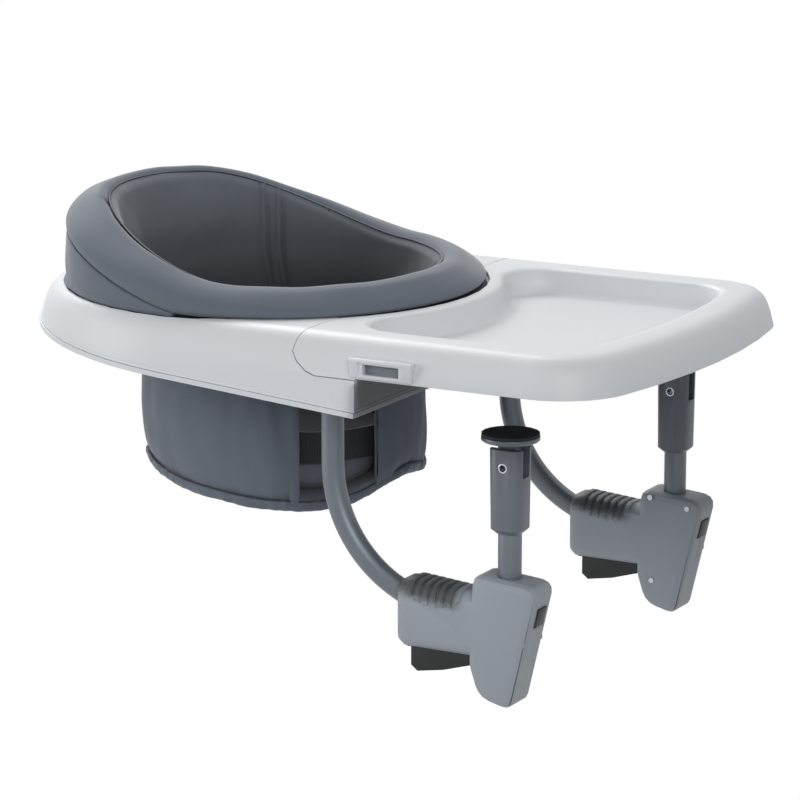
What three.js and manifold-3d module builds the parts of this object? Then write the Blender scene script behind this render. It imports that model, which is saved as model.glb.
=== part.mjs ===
import * as THREE from "three";
import { mergeVertices } from "three/addons/utils/BufferGeometryUtils.js";
import Module from "manifold-3d";

// A baby seat that hooks on a table: a round seat turns in a moulded housing, a tray lies over the
// table, and two arms carry clamps whose feet press up under the table top. All lengths are in
// millimetres. X points over the table, Y to the child's left and Z up. The plane Z = 0 is the table
// top, Y = 0 is the plane of symmetry, and the origin lies under the middle of the front rest.

const wasm = await Module();
wasm.setup();

// The table that the chair is set on
const tableThickness = 36;
const tableEdgeX = -10;

// Fits that many pieces share
const fitGap = 0.3;
const runningGap = 0.6;
const cutOverrun = 30;
const mergeTolerance = 0.001;
const drumSides = 16;
const pinSides = 12;
const filletSteps = 3;

// Plan of the housing and the tray, which grows with the well that the seat turns in
const counterboreRadius = 176;
const counterboreSetBack = 6;
const sideWall = 14;
const rearWall = 22.5;
const ringCentreX = tableEdgeX - counterboreSetBack - counterboreRadius;
const halfWidth = counterboreRadius + sideWall;
const rearReach = counterboreRadius + rearWall;
const topHeight = 31;
const trayLift = 0.4;
const trayFrontX = 210;
const frontCurveRadius = 709;
const frontCornerRadius = 61;

// Rounded edge of the housing and the tray, from the lower outline up to the flat top
const edgeDepth = 26;
const edgeInsetShares = [0, 0.115, 0.212, 0.346, 0.538, 0.769, 1];
const edgeHeightShares = [0, 0.387, 0.613, 0.806, 0.935, 0.99, 1];

// Housing
const housingWall = 3;
const housingFrontX = tableEdgeX - runningGap;
const skirtFlare = 0.5;
const rearSteps = 28;
const hiddenRearSteps = 14;
const skirtDepth = 46;
const undersideRearZ = -1.5;
const undersideFrontZ = -31;
const coverThickness = 4;
const coverFlare = 0.9;
const counterboreLedge = 12;
const ledgeReach = 4;
const ledgeThickness = 4;
const counterboreDepth = 9;
const wellRadius = counterboreRadius - counterboreLedge;
const ledgeRadius = wellRadius - ledgeReach;
const partingSetBack = 54;
const partingTopX = tableEdgeX - partingSetBack;
const partingDepth = 32.2;
const partingReach = 22;
const partingXShares = [0, -0.114, -0.182, 0.045, 0.427, 0.818];
const partingZShares = [0, -0.217, -0.481, -0.714, -0.91, -1];
const partingGap = 0.6;

// Tray
const trayWall = 2.5;
const cornerSteps = 8;
const bowSteps = 6;
const hiddenSteps = 3;
const trayToCore = 1.1;
const apertureStep = 2;
const recessSideWall = 45;
const recessFrontWall = 42;
const recessRearWall = 14;
const apertureRadius = counterboreRadius + apertureStep;
const recessHalfWidth = halfWidth - recessSideWall;
const recessFrontX = trayFrontX - recessFrontWall;
const recessRearRadius = counterboreRadius + recessRearWall;
const recessFloorZ = 10;
const recessDepth = topHeight - recessFloorZ;
const recessSpread = 15;
const recessLip = 7;
const recessFrontFillet = 34;
const recessRearFillet = 32;
const recessInsetShares = [1, 0.6, 0.333, 0.2, 0];
const recessDropShares = [1, 0.967, 0.833, 0.571, 0.143];
const recessLipDropShare = 0.038;
const recessLipInsetShare = 0.43;
const recessCornerSteps = 6;

// Rests on the table and their rubber pads
const restThickness = 4.5;
const padThickness = 2;
const frontRestReach = 14;
const frontRestInset = 40;
const sideRestInset = 18;
const sideRestWidth = 32;
const sideRibInset = 26;
const sideRibWidth = 12;
const sideRestSetBack = 60;
const frontRestHalfWidth = halfWidth - frontRestInset;
const sideRestOuter = halfWidth - sideRestInset;
const sideRestInner = sideRestOuter - sideRestWidth;
const sideRibOuter = halfWidth - sideRibInset;
const sideRibInner = sideRibOuter - sideRibWidth;
const sideRestEnd = trayFrontX - sideRestSetBack;
const sideRibDrop = 11.7;
const padMargin = 2;

// Latches in the tray's sides
const latchMidX = 13.25;
const latchLength = 54.5;
const latchBottomZ = 2;
const latchHeight = 15;
const latchProud = 1.3;
const hoodProud = 1.4;
const hoodHeight = 2.6;
const latchRim = 3.2;
const windowLength = 31.5;
const windowHeight = 8.4;
const windowBottomZ = 4.6;
const latchPlateInset = 2.6;
const latchPlateDepth = 10;
const latchTravel = 4;
const latchToothLength = 10;
const latchToothReach = 4.5;
const latchRibCount = 4;
const latchRibDepth = 0.8;
const hoodCheek = 7.5;
const hoodHollow = 1.2;

// Seat lock under the back of the housing
const lockNotchHalf = 6.4;
const lockPawlHeight = 4;
const lockTravel = 4;
const lockPawlLength = 18;
const lockStemLength = 6;
const lockTabLength = 16;
const lockTabHalfWidth = 9;
const lockTabHeight = 5;
const lockTabRound = 1.6;
const lockTabEdge = 0.05;

// Turning ring of the seat
const ringSkirtClear = 2.5;
const ringSkirtRadius = ledgeRadius - ringSkirtClear;
const ringSkirtWall = 4.5;
const ringSkirtDepth = 14;
const ringLugReach = 5;
const ringLugHeight = 5.4;
const ringLugAngle = THREE.MathUtils.degToRad(30);
const ringLugCount = 4;
const seatSteps = 40;
const lugSteps = 5;

// Padded rim, back bolster and lining
const rimOuterRadius = counterboreRadius;
const rimWidth = 38;
const ringBoreRadius = rimOuterRadius - rimWidth - fitGap;
const rimHeight = 21.2;
const rimAboveTop = 19;
const rimFrontZ = topHeight + rimAboveTop;
const rimRise = 55;
const rimRiseFrom = THREE.MathUtils.degToRad(70);
const rimRiseOver = THREE.MathUtils.degToRad(83);
const rimDip = 4;
const rimDipFrom = THREE.MathUtils.degToRad(140);
const rimPoints = 12;
const rimSquareness = 2.5;
const rimSeam = 0.8;
const bolsterSetIn = 2;
const bolsterRadius = rimOuterRadius - bolsterSetIn;
const bolsterSteps = 22;
const bolsterFrom = THREE.MathUtils.degToRad(81);
const linerWall = 2.6;
const linerTopDrop = 4;
const linerBreakDrop = 9;
const linerBottomDrop = 36;
const linerBreakZ = topHeight - linerBreakDrop;
const linerBottomZ = topHeight - linerBottomDrop;

// Fabric bucket under the ring
const linerTaper = 19.1;
const bucketRadius = ringBoreRadius - linerTaper;
const bucketShift = 7;
const bucketX = ringCentreX + bucketShift;
const fabricWall = 3;
const wrapSteps = 36;
const panelSteps = 8;
const legFrom = THREE.MathUtils.degToRad(20.2);
const legTo = THREE.MathUtils.degToRad(54);
const hemHeight = 10;
const hemProud = 0.8;
const wallHemGap = 0.9;
const seatMidZ = -130.7;
const seatTiltShare = 0.117;
const crotchRise = 23.2;
const crotchRiseAngle = THREE.MathUtils.degToRad(29);
const baseRadiusShares = [0.9, 1, 1, 1, 1, 1, 1, 0.93];
const baseHeightShares = [0.4, 0.2, 0, 0.333, 0.8, 1, 1, 1];
const baseLiftShares = [0, 0.9, 1, 1, 1, 1, 1, 0];
const baseProudShares = [0, 0, 0.79, 1, 1, 0.79, 0, 0];
const cushionClear = 7.8;
const cushionRadius = bucketRadius - fabricWall - cushionClear;
const cushionSteps = 32;
const cushionThickness = 30;
const cushionCrown = 4;
const cushionRadiusShares = [0.94, 0.985, 1, 0.985, 0.94, 0.84];
const cushionHeightShares = [0, 0.12, 0.4, 0.7, 0.89, 1];
const cushionCrownShare = 0.5;

// Harness in the bucket
const strapWidth = 25;
const strapThickness = 2;
const lapStrapFrom = THREE.MathUtils.degToRad(12);
const lapStrapTo = THREE.MathUtils.degToRad(104);
const lapStrapClear = 6;
const lapStrapHeight = 2;
const lapStrapFall = 10;
const lapStrapSpringShare = 0.4;
const lapStrapSteps = 14;
const buckleGap = 0.9;
const buckleLength = 34;
const buckleHeight = 40;
const buckleThickness = 9;
const buckleCorner = 6;

// Folding arms
const armSetBack = 41;
const armInset = 37.7;
const armX = tableEdgeX - armSetBack;
const armY = halfWidth - armInset;
const tubeRadius = 9;
const tubeWall = 1.5;
const tubeSides = 10;
const tubeSteps = 12;
const armBendStartZ = -78.3;
const armBendRadius = 105;
const armBendAngle = THREE.MathUtils.degToRad(83.5);
const armMidAngle = THREE.MathUtils.degToRad(63);
const armMidLength = 9.8;
const bossRadius = 17;
const bossBottomZ = -30.5;
const bossSeatDrop = 19;
const bossSeatZ = topHeight - bossSeatDrop;
const bushWall = 2.4;
const bushFlange = 2;
const bushFlangeReach = 1.8;
const collarHeight = 3;
const retainerThickness = 3;
const retainerPlug = 12;
const armEndX = armX + armBendRadius * (1 - Math.cos(armBendAngle))
  + armMidLength * Math.sin(armMidAngle);
const armEndZ = armBendStartZ - armBendRadius * Math.sin(armBendAngle)
  - armMidLength * Math.cos(armMidAngle);

// Clamp casing
const clampHalf = 18;
const clampWall = 2.6;
const towerRise = 39.1;
const towerTopZ = armEndZ + towerRise;
const towerHeight = 101.5;
const towerAhead = 30.2;
const towerLeftX = armEndX + towerAhead;
const towerWidth = 57;
const towerBevel = 6;
const towerBevelSteps = 2;
const towerXShares = [-0.01, 1, 0.585, 0.09, -0.06];
const towerZShares = [-0.03, 0.05, 1.045, 0.975, 0.72];
const towerFilletShares = [0.14, 0.16, 0.14, 0.32, 0.5];
const towerTopThickness = 10;
const splitGap = 0.3;
const gripLength = 68.5;
const gripOverlap = 15;
const gripTopDrop = 11;
const gripLeftX = towerLeftX - gripLength;
const gripRightX = towerLeftX + gripOverlap;
const gripTopZ = towerTopZ - gripTopDrop;
const gripHeight = 58;
const gripDrop = 7;
const gripCorner = 12;
const gripStationShares = [0, 0.025, 0.075, 0.15, 1];
const gripInsetShares = [0.5, 0.24, 0.08, 0, 0];
const gripRibCount = 7;
const gripRibPitch = 6.8;
const gripRibWidth = 3.8;
const gripRibProud = 1;
const gripRibSetIn = 13.5;
const gripRibFromX = gripLeftX + gripRibSetIn;
const gripRibRadius = 34;
const gripRibSteps = 8;
const gripRibRise = 14;

// Post, sleeve and foot
const postSetIn = 24.6;
const postX = towerLeftX + postSetIn;
const postRadius = 9.3;
const footPinDrop = 26;
const footPinZ = -tableThickness - footPinDrop;
const postTopDrop = 10;
const postTopZ = footPinZ - postTopDrop;
const postReach = 62;
const postBottomZ = towerTopZ - postReach;
const guideGap = 0.35;
const guideThickness = 3.6;
const guideDrop = 49.6;
const lowerGuideZ = towerTopZ - guideDrop;
const sleeveAbovePin = 14;
const sleeveLength = 67;
const sleeveTopZ = footPinZ + sleeveAbovePin;
const sleeveBottomZ = sleeveTopZ - sleeveLength;
const sleeveHalf = 13.2;
const sleeveFlare = 0.6;
const sleeveChamfer = 3.5;
const sleeveCorner = 8;
const footPinRadius = 4;
const footPinBore = 2.7;
const footRadius = 23;
const footPadThickness = 2.2;
const footPlateThickness = 4.2;
const footTongueHalf = 5;
const footTongueWidth = 15;
const footTongueBelow = 7;
const footTongueRound = 6;
const footRim = 1.4;
const footSides = 20;

// Mechanism inside the clamp
const triggerPivotAhead = 6.4;
const triggerPivotDrop = 61;
const triggerPivotX = postX + triggerPivotAhead;
const triggerPivotZ = towerTopZ - triggerPivotDrop;
const triggerHalf = 12;
const triggerArmInner = 10;
const triggerArmOuter = 13.2;
const trunnionRadius = 2.2;
const trunnionLength = 3;
const triggerSetIn = 13;
const triggerLeftX = gripLeftX + triggerSetIn;
const triggerLength = 63;
const triggerTopDrop = 56.5;
const triggerTopZ = towerTopZ - triggerTopDrop;
const triggerDepth = 29.5;
const triggerXShares = [0, 0.02, 0.23, 0.66, 0.7, 1, 1, 0.865, 0.82, 0.45, 0.09, 0];
const triggerZShares = [0.25, 0.1, 0.19, 0.24, 0.06, 0, 0.32, 0.576, 0.627, 0.864, 1, 0.85];
const noseWidth = 4;
const noseHeight = 7.2;
const armLeverHeight = 8.5;
const armLeverTaper = 1.3;
const slotHalf = 13.6;
const slotSetIn = 10.5;
const slotLeftX = gripLeftX + slotSetIn;
const slotDrop = 44.8;
const slotTopZ = towerTopZ - slotDrop;
const slotTopDrop = 5.2;
const slotLowShare = 0.72;
const slotMidShare = 0.5;
const plateThickness = 3;
const plateHalf = 13;
const plateBoreGap = 0.45;
const plateLength = 32.5;
const drivePlateDrop = 45.5;
const drivePlateBehind = 17.1;
const drivePlateTopZ = towerTopZ - drivePlateDrop;
const drivePlateLeftX = postX - drivePlateBehind;
const lockPlateDrop = 26;
const lockPlateBehind = 15.6;
const lockPlateTopZ = towerTopZ - lockPlateDrop;
const lockPlateLeftX = postX - lockPlateBehind;
const springRadius = 11.8;
const springWire = 0.6;
const springTurns = 4;
const springStepsPerTurn = 7;
const springSides = 4;
const springSeatDrop = 29.6;
const springSeatZ = towerTopZ - springSeatDrop;
const springSeatThickness = 2.4;
const springSeatBehind = 14.6;
const springSeatAhead = 10;
const buttonDrop = 31.3;
const buttonZ = towerTopZ - buttonDrop;
const buttonHeight = 15.5;
const buttonHalf = 7.5;
const buttonProud = 1.2;
const buttonFlange = 2;
const buttonLip = 1.6;
const buttonTailAhead = 13.4;
const buttonTailX = postX + buttonTailAhead;
const buttonTailHeight = 4;
const buttonTailHalf = 4;
const screwHeadRadius = 2.4;
const screwHeadHeight = 1.6;
const screwHeadProud = 0.4;
const screwShankRadius = 1.1;
const screwLength = 24;
const screwBoss = 2.6;
const screwHeadSides = 10;
const screwShankSides = 6;
const screwTopAlong = 10;
const screwTopDrop = 5.7;
const screwNoseAlong = 44;
const screwNoseDrop = 11.4;
const screwLowAlong = 12.3;
const screwLowDrop = 77.5;
const screwPlaces = {
  top: [towerLeftX + screwTopAlong, towerTopZ - screwTopDrop],
  nose: [towerLeftX + screwNoseAlong, towerTopZ - screwNoseDrop],
  low: [towerLeftX + screwLowAlong, towerTopZ - screwLowDrop],
};

// Colours and surfaces
const paleShell = { color: 0xd0d4d7, roughness: 0.45, metalness: 0 };
const paleLatch = { color: 0xd4d8da, roughness: 0.4, metalness: 0 };
const ribbedGrey = { color: 0x7e848b, roughness: 0.5, metalness: 0 };
const darkFabric = { color: 0x5f656c, roughness: 0.9, metalness: 0 };
const linerFabric = { color: 0x51565c, roughness: 0.9, metalness: 0 };
const cushionFabric = { color: 0x51565c, roughness: 0.95, metalness: 0 };
const blackWebbing = { color: 0x1d2023, roughness: 0.85, metalness: 0 };
const blackPlastic = { color: 0x2a2e32, roughness: 0.5, metalness: 0 };
const greyPlastic = { color: 0x8b9298, roughness: 0.5, metalness: 0 };
const greyPaint = { color: 0x767c84, roughness: 0.4, metalness: 0.3 };
const steel = { color: 0xb4b8bb, roughness: 0.3, metalness: 0.9 };
const rubber = { color: 0x35383c, roughness: 0.9, metalness: 0 };
const innerPlastic = { color: 0x6a7076, roughness: 0.6, metalness: 0 };

const group = new THREE.Group();

// A geometry as a solid with its shared corners merged and its faces pointing out.
function solidOf(geometry) {
  const bare = geometry.clone();
  bare.deleteAttribute("normal");
  bare.deleteAttribute("uv");
  const merged = mergeVertices(bare, mergeTolerance);
  const places = merged.attributes.position.array;
  const corners = new Uint32Array(merged.index.array);
  const a = new THREE.Vector3();
  const b = new THREE.Vector3();
  const c = new THREE.Vector3();
  let volume = 0;
  for (let i = 0; i < corners.length; i += 3) {
    a.fromArray(places, corners[i] * 3);
    b.fromArray(places, corners[i + 1] * 3);
    c.fromArray(places, corners[i + 2] * 3);
    volume += a.dot(b.cross(c));
  }
  if (volume < 0) {
    for (let i = 0; i < corners.length; i += 3) {
      [corners[i + 1], corners[i + 2]] = [corners[i + 2], corners[i + 1]];
    }
  }
  return new wasm.Manifold(
    new wasm.Mesh({ numProp: 3, vertProperties: places, triVerts: corners }),
  );
}

// Adds a finished solid to the group as a named mesh of its own.
function addPart(name, solid, finish) {
  const mesh = solid.getMesh();
  const geometry = new THREE.BufferGeometry();
  geometry.setAttribute("position", new THREE.BufferAttribute(mesh.vertProperties, 3));
  geometry.setIndex(new THREE.BufferAttribute(mesh.triVerts, 1));
  geometry.computeVertexNormals();
  const part = new THREE.Mesh(geometry, new THREE.MeshStandardMaterial(finish));
  part.name = name;
  group.add(part);
}

// A skin through a row of loops with equal counts of points, closed by a fan at each end, or joined
// end to end where it runs round.
function loft(loops, runsRound = false) {
  const count = loops[0].length;
  const places = loops.flat().flatMap((point) => [point.x, point.y, point.z]);
  const faces = [];
  const last = runsRound ? loops.length : loops.length - 1;
  for (let row = 0; row < last; row += 1) {
    const next = (row + 1) % loops.length;
    for (let i = 0; i < count; i += 1) {
      const j = (i + 1) % count;
      const corner = row * count + i;
      const beside = row * count + j;
      const above = next * count + i;
      const across = next * count + j;
      faces.push(corner, beside, across, corner, across, above);
    }
  }
  if (!runsRound) {
    for (const [row, turned] of [[0, true], [loops.length - 1, false]]) {
      const middle = new THREE.Vector3();
      loops[row].forEach((point) => middle.addScaledVector(point, 1 / count));
      const centre = places.length / 3;
      places.push(middle.x, middle.y, middle.z);
      for (let i = 0; i < count; i += 1) {
        const here = row * count + i;
        const beside = row * count + ((i + 1) % count);
        faces.push(centre, turned ? beside : here, turned ? here : beside);
      }
    }
  }
  const geometry = new THREE.BufferGeometry();
  geometry.setAttribute("position", new THREE.Float32BufferAttribute(places, 3));
  geometry.setIndex(faces);
  return solidOf(geometry);
}

function box(fromX, toX, fromY, toY, fromZ, toZ) {
  const geometry = new THREE.BoxGeometry(toX - fromX, toY - fromY, toZ - fromZ);
  geometry.translate((fromX + toX) / 2, (fromY + toY) / 2, (fromZ + toZ) / 2);
  return solidOf(geometry);
}

// An upright cylinder between two heights.
function drum(x, y, radius, fromZ, toZ, sides = drumSides) {
  const geometry = new THREE.CylinderGeometry(radius, radius, toZ - fromZ, sides);
  geometry.rotateX(Math.PI / 2);
  geometry.translate(x, y, (fromZ + toZ) / 2);
  return solidOf(geometry);
}

// A cylinder that lies along Y.
function crossPin(x, z, radius, fromY, toY, sides = pinSides) {
  const geometry = new THREE.CylinderGeometry(radius, radius, toY - fromY, sides);
  geometry.translate(x, (fromY + toY) / 2, z);
  return solidOf(geometry);
}

// A profile of radii and heights turned about an upright axis.
function turned(profile, x, y, sides) {
  const points = profile.map(([radius, z]) => new THREE.Vector2(radius, z));
  const geometry = new THREE.LatheGeometry(points, sides);
  geometry.rotateX(Math.PI / 2);
  geometry.translate(x, y, 0);
  return solidOf(geometry);
}

// An outline in X and Z, as thick as said on both sides of a plane across Y.
function sidePlate(outline, half, middleY = 0) {
  const shape = new THREE.Shape(outline.map(([x, z]) => new THREE.Vector2(x, z)));
  const geometry = new THREE.ExtrudeGeometry(shape, { depth: half * 2, bevelEnabled: false });
  geometry.translate(0, 0, -half);
  geometry.rotateX(Math.PI / 2);
  geometry.translate(0, middleY, 0);
  return solidOf(geometry);
}

// An outline with each corner rounded by its own radius.
function filleted(corners, steps = filletSteps) {
  const outline = [];
  corners.forEach(([x, z, radius], i) => {
    const [fromX, fromZ] = corners[(i + corners.length - 1) % corners.length];
    const [toX, toZ] = corners[(i + 1) % corners.length];
    const back = new THREE.Vector2(fromX - x, fromZ - z).normalize();
    const ahead = new THREE.Vector2(toX - x, toZ - z).normalize();
    const half = Math.acos(THREE.MathUtils.clamp(back.dot(ahead), -1, 1)) / 2;
    const middle = back.clone().add(ahead).normalize().multiplyScalar(radius / Math.sin(half));
    const start = back.clone().multiplyScalar(radius / Math.tan(half)).sub(middle);
    const sweep = Math.PI - half * 2;
    const way = Math.sign(back.cross(ahead)) * -1;
    for (let step = 0; step <= steps; step += 1) {
      const spoke = start.clone().rotateAround(new THREE.Vector2(), (way * sweep * step) / steps);
      outline.push([x + middle.x + spoke.x, z + middle.y + spoke.y]);
    }
  });
  return outline;
}

// Points on a level arc about a centre.
function levelArc(centreX, centreY, radius, from, to, steps, z) {
  const points = [];
  for (let step = 0; step <= steps; step += 1) {
    const angle = THREE.MathUtils.lerp(from, to, step / steps);
    const x = centreX + radius * Math.cos(angle);
    points.push(new THREE.Vector3(x, centreY + radius * Math.sin(angle), z));
  }
  return points;
}

// Plan of the housing: half an ellipse at the back and straight sides up to the table's edge.
function housingLoop(inset, z, frontX, hidden = false) {
  const loop = [
    new THREE.Vector3(frontX, inset - halfWidth, z),
    new THREE.Vector3(frontX, halfWidth - inset, z),
  ];
  const steps = hidden ? hiddenRearSteps : rearSteps;
  for (let step = 0; step <= steps; step += 1) {
    const angle = Math.PI / 2 + (Math.PI * step) / steps;
    const x = ringCentreX + (rearReach - inset) * Math.cos(angle);
    loop.push(new THREE.Vector3(x, (halfWidth - inset) * Math.sin(angle), z));
  }
  return loop;
}

// Plan of the tray: straight sides, round front corners and a bowed front edge.
function trayLoop(inset, z, rearX, hidden = false) {
  const bowX = trayFrontX - frontCurveRadius;
  const cornerY = halfWidth - frontCornerRadius;
  const reach = frontCurveRadius - frontCornerRadius;
  const cornerX = bowX + Math.sqrt(reach ** 2 - cornerY ** 2);
  const lean = Math.atan2(cornerY, cornerX - bowX);
  const corner = frontCornerRadius - inset;
  const round = hidden ? hiddenSteps : cornerSteps;
  const bow = hidden ? hiddenSteps : bowSteps;
  return [
    new THREE.Vector3(rearX, inset - halfWidth, z),
    ...levelArc(cornerX, -cornerY, corner, -Math.PI / 2, -lean, round, z),
    ...levelArc(bowX, 0, frontCurveRadius - inset, -lean, lean, bow, z).slice(1, -1),
    ...levelArc(cornerX, cornerY, corner, lean, Math.PI / 2, round, z),
    new THREE.Vector3(rearX, halfWidth - inset, z),
  ];
}

// The rounded edge form over a plan, drawn in by a wall and lowered by a drop. A hidden face takes
// only every other step of the rounding.
function edgeForm(planLoop, wall, drop, endX, stride = 1) {
  const hidden = stride > 1;
  const loops = [planLoop(wall - skirtFlare, -skirtDepth, endX, hidden)];
  for (let i = 0; i < edgeInsetShares.length; i += stride) {
    const z = edgeHeightShares[i] * topHeight - drop;
    loops.push(planLoop(wall + edgeInsetShares[i] * edgeDepth, z, endX, hidden));
  }
  return loft(loops);
}

// Plan of the tray's recess, whose rear edge runs round the seat.
function recessLoop(inset, z, hidden) {
  const bowX = trayFrontX - frontCurveRadius;
  const bow = recessFrontX - bowX;
  const frontY = recessHalfWidth - recessFrontFillet;
  const frontX = bowX + Math.sqrt((bow - recessFrontFillet) ** 2 - frontY ** 2);
  const lean = Math.atan2(frontY, frontX - bowX);
  const rearY = recessHalfWidth - recessRearFillet;
  const rearX = ringCentreX + Math.sqrt((recessRearRadius + recessRearFillet) ** 2 - rearY ** 2);
  const turn = Math.atan2(rearY, rearX - ringCentreX);
  const frontFillet = recessFrontFillet - inset;
  const rearFillet = recessRearFillet - inset;
  const half = Math.PI / 2;
  const round = hidden ? hiddenSteps : recessCornerSteps;
  const along = hidden ? hiddenSteps : bowSteps;
  return [
    ...levelArc(rearX, -rearY, rearFillet, Math.PI - turn, Math.PI + half, round, z),
    ...levelArc(frontX, -frontY, frontFillet, -half, -lean, round, z),
    ...levelArc(bowX, 0, bow - inset, -lean, lean, along, z).slice(1, -1),
    ...levelArc(frontX, frontY, frontFillet, lean, half, round, z),
    ...levelArc(rearX, rearY, rearFillet, half, Math.PI + turn, round, z),
    ...levelArc(ringCentreX, 0, recessRearRadius + inset, turn, -turn, along, z).slice(1, -1),
  ];
}

// The recess as a cutting form, grown by a wall and lowered with it. A hidden one has fewer steps.
function recessForm(grow, hidden = false) {
  const floorZ = topHeight - recessDepth - grow;
  const loops = [];
  const stride = hidden ? 2 : 1;
  for (let i = 0; i < recessInsetShares.length; i += stride) {
    const z = floorZ + (1 - recessDropShares[i]) * recessDepth;
    loops.push(recessLoop(recessInsetShares[i] * recessSpread - grow, z, hidden));
  }
  const lipZ = topHeight - grow - recessLipDropShare * recessDepth;
  if (!hidden) {
    loops.push(recessLoop(-recessLip * recessLipInsetShare - grow, lipZ, hidden));
  }
  loops.push(recessLoop(-recessLip - grow, topHeight - grow, hidden));
  loops.push(recessLoop(-recessLip - grow, topHeight + cutOverrun, hidden));
  return loft(loops);
}

// Height of the housing's sloped underside at a place along X.
function undersideZ(x) {
  const rearX = ringCentreX - rearReach;
  return THREE.MathUtils.mapLinear(x, rearX, tableEdgeX, undersideRearZ, undersideFrontZ);
}

// The curved joint line in side view where the tray's wings end on the housing.
function partingLine(shift) {
  return partingXShares.map((share, i) => [
    partingTopX + share * partingReach + shift,
    topHeight + partingZShares[i] * partingDepth + shift,
  ]);
}

// Everything between two sloped planes that follow the underside.
function slopedSlab(above, height, fromX, toX) {
  const outline = [
    [fromX, undersideZ(fromX) + above],
    [toX, undersideZ(toX) + above],
    [toX, undersideZ(toX) + above + height],
    [fromX, undersideZ(fromX) + above + height],
  ];
  return sidePlate(outline, halfWidth + cutOverrun);
}

function pivotPlaces() {
  return [-1, 1].map((side) => side * armY);
}

function makeHousing() {
  const rearX = ringCentreX - rearReach - cutOverrun;
  const frontFar = housingFrontX;
  const coreInset = trayWall + trayToCore;
  const bottom = coverThickness + fitGap;
  const parting = partingLine(0);
  const [, partingLowZ] = parting[parting.length - 1];
  const mainSide = [
    [rearX, undersideZ(rearX) + bottom],
    [frontFar, undersideZ(frontFar) + bottom],
    [frontFar, partingLowZ],
    ...parting.reverse(),
    [partingTopX, topHeight + cutOverrun],
    [rearX, topHeight + cutOverrun],
  ];
  const plate = sidePlate(mainSide, halfWidth + cutOverrun);
  const main = edgeForm(housingLoop, 0, 0, frontFar).intersect(plate);
  const coreForm = edgeForm(housingLoop, coreInset, coreInset, frontFar, 2);
  const coreStartX = partingTopX - partingReach;
  const above = slopedSlab(bottom, skirtDepth + topHeight, coreStartX, frontFar);
  let core = coreForm.intersect(above);
  core = core.subtract(recessForm(coreInset, true));
  let shell = main.add(core);

  const deep = coreInset + housingWall;
  const inner = frontFar - housingWall;
  let hollow = edgeForm(housingLoop, deep, deep, inner, 3);
  const rearEnd = coreStartX + housingWall;
  const rearHollow = edgeForm(housingLoop, housingWall, housingWall, rearEnd, 3);
  hollow = hollow.add(rearHollow);
  const ledgeZ = topHeight - counterboreDepth;
  const top = topHeight + cutOverrun;
  const low = -skirtDepth - cutOverrun;
  hollow = hollow.subtract(drum(ringCentreX, 0, wellRadius + housingWall, low, top, seatSteps));
  const wallRadius = counterboreRadius + housingWall;
  const ledge = drum(ringCentreX, 0, wallRadius, ledgeZ - ledgeThickness, top, seatSteps);
  hollow = hollow.subtract(ledge);
  hollow = hollow.subtract(recessForm(deep, true));
  for (const y of pivotPlaces()) {
    hollow = hollow.subtract(drum(armX, y, bossRadius, low, top));
  }
  shell = shell.subtract(hollow);
  shell = shell.subtract(drum(ringCentreX, 0, counterboreRadius, ledgeZ, top, seatSteps));
  shell = shell.subtract(drum(ringCentreX, 0, ledgeRadius, low, top, seatSteps));
  const well = drum(ringCentreX, 0, wellRadius, low, ledgeZ - ledgeThickness, seatSteps);
  shell = shell.subtract(well);
  for (const y of pivotPlaces()) {
    const boss = drum(armX, y, bossRadius, bossBottomZ, topHeight).intersect(coreForm);
    shell = shell.add(boss);
    const bushRadius = tubeRadius + fitGap + bushWall + fitGap;
    shell = shell.subtract(drum(armX, y, bushRadius, low, bossSeatZ));
    const seat = bushRadius + bushFlangeReach + fitGap;
    shell = shell.subtract(drum(armX, y, seat, bossSeatZ, top));
  }

  const restZ = padThickness + fitGap;
  const restTop = restZ + restThickness;
  const rearRestX = inner - housingWall;
  const across = frontRestHalfWidth;
  shell = shell.add(box(rearRestX, frontRestReach, -across, across, restZ, restTop));
  for (const side of [-1, 1]) {
    const [low1, high1] = sortedSides(side, sideRestInner, sideRestOuter);
    shell = shell.add(box(rearRestX, sideRestEnd, low1, high1, restZ, restTop));
    const [low2, high2] = sortedSides(side, sideRibInner, sideRibOuter);
    shell = shell.add(box(rearRestX, sideRestEnd, low2, high2, restZ, topHeight - sideRibDrop));
    const notchHalf = latchToothLength / 2 + runningGap * 2;
    const depth = latchToothReach + runningGap;
    const [low3, high3] = sortedSides(side, sideRestOuter - depth, sideRestOuter + cutOverrun);
    const notchFrom = latchMidX - notchHalf;
    const notchTo = latchMidX + notchHalf;
    shell = shell.subtract(box(notchFrom, notchTo, low3, high3, 0, top));
  }
  const pawl = lockPawlHeight / 2 + runningGap;
  const pawlZ = lockPawlZ();
  const windowX = ringCentreX - wellRadius;
  const windowHalf = lockNotchHalf - runningGap + fitGap;
  const window = box(windowX - housingWall * 2, windowX + housingWall, -windowHalf, windowHalf,
    pawlZ - pawl, pawlZ + pawl);
  return shell.subtract(window);
}

// Two places on one side of the middle, the lower one first.
function sortedSides(side, inner, outer) {
  return side > 0 ? [inner, outer] : [-outer, -inner];
}

function lockPawlZ() {
  return topHeight - counterboreDepth - ledgeThickness - runningGap - ringLugHeight / 2;
}

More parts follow.
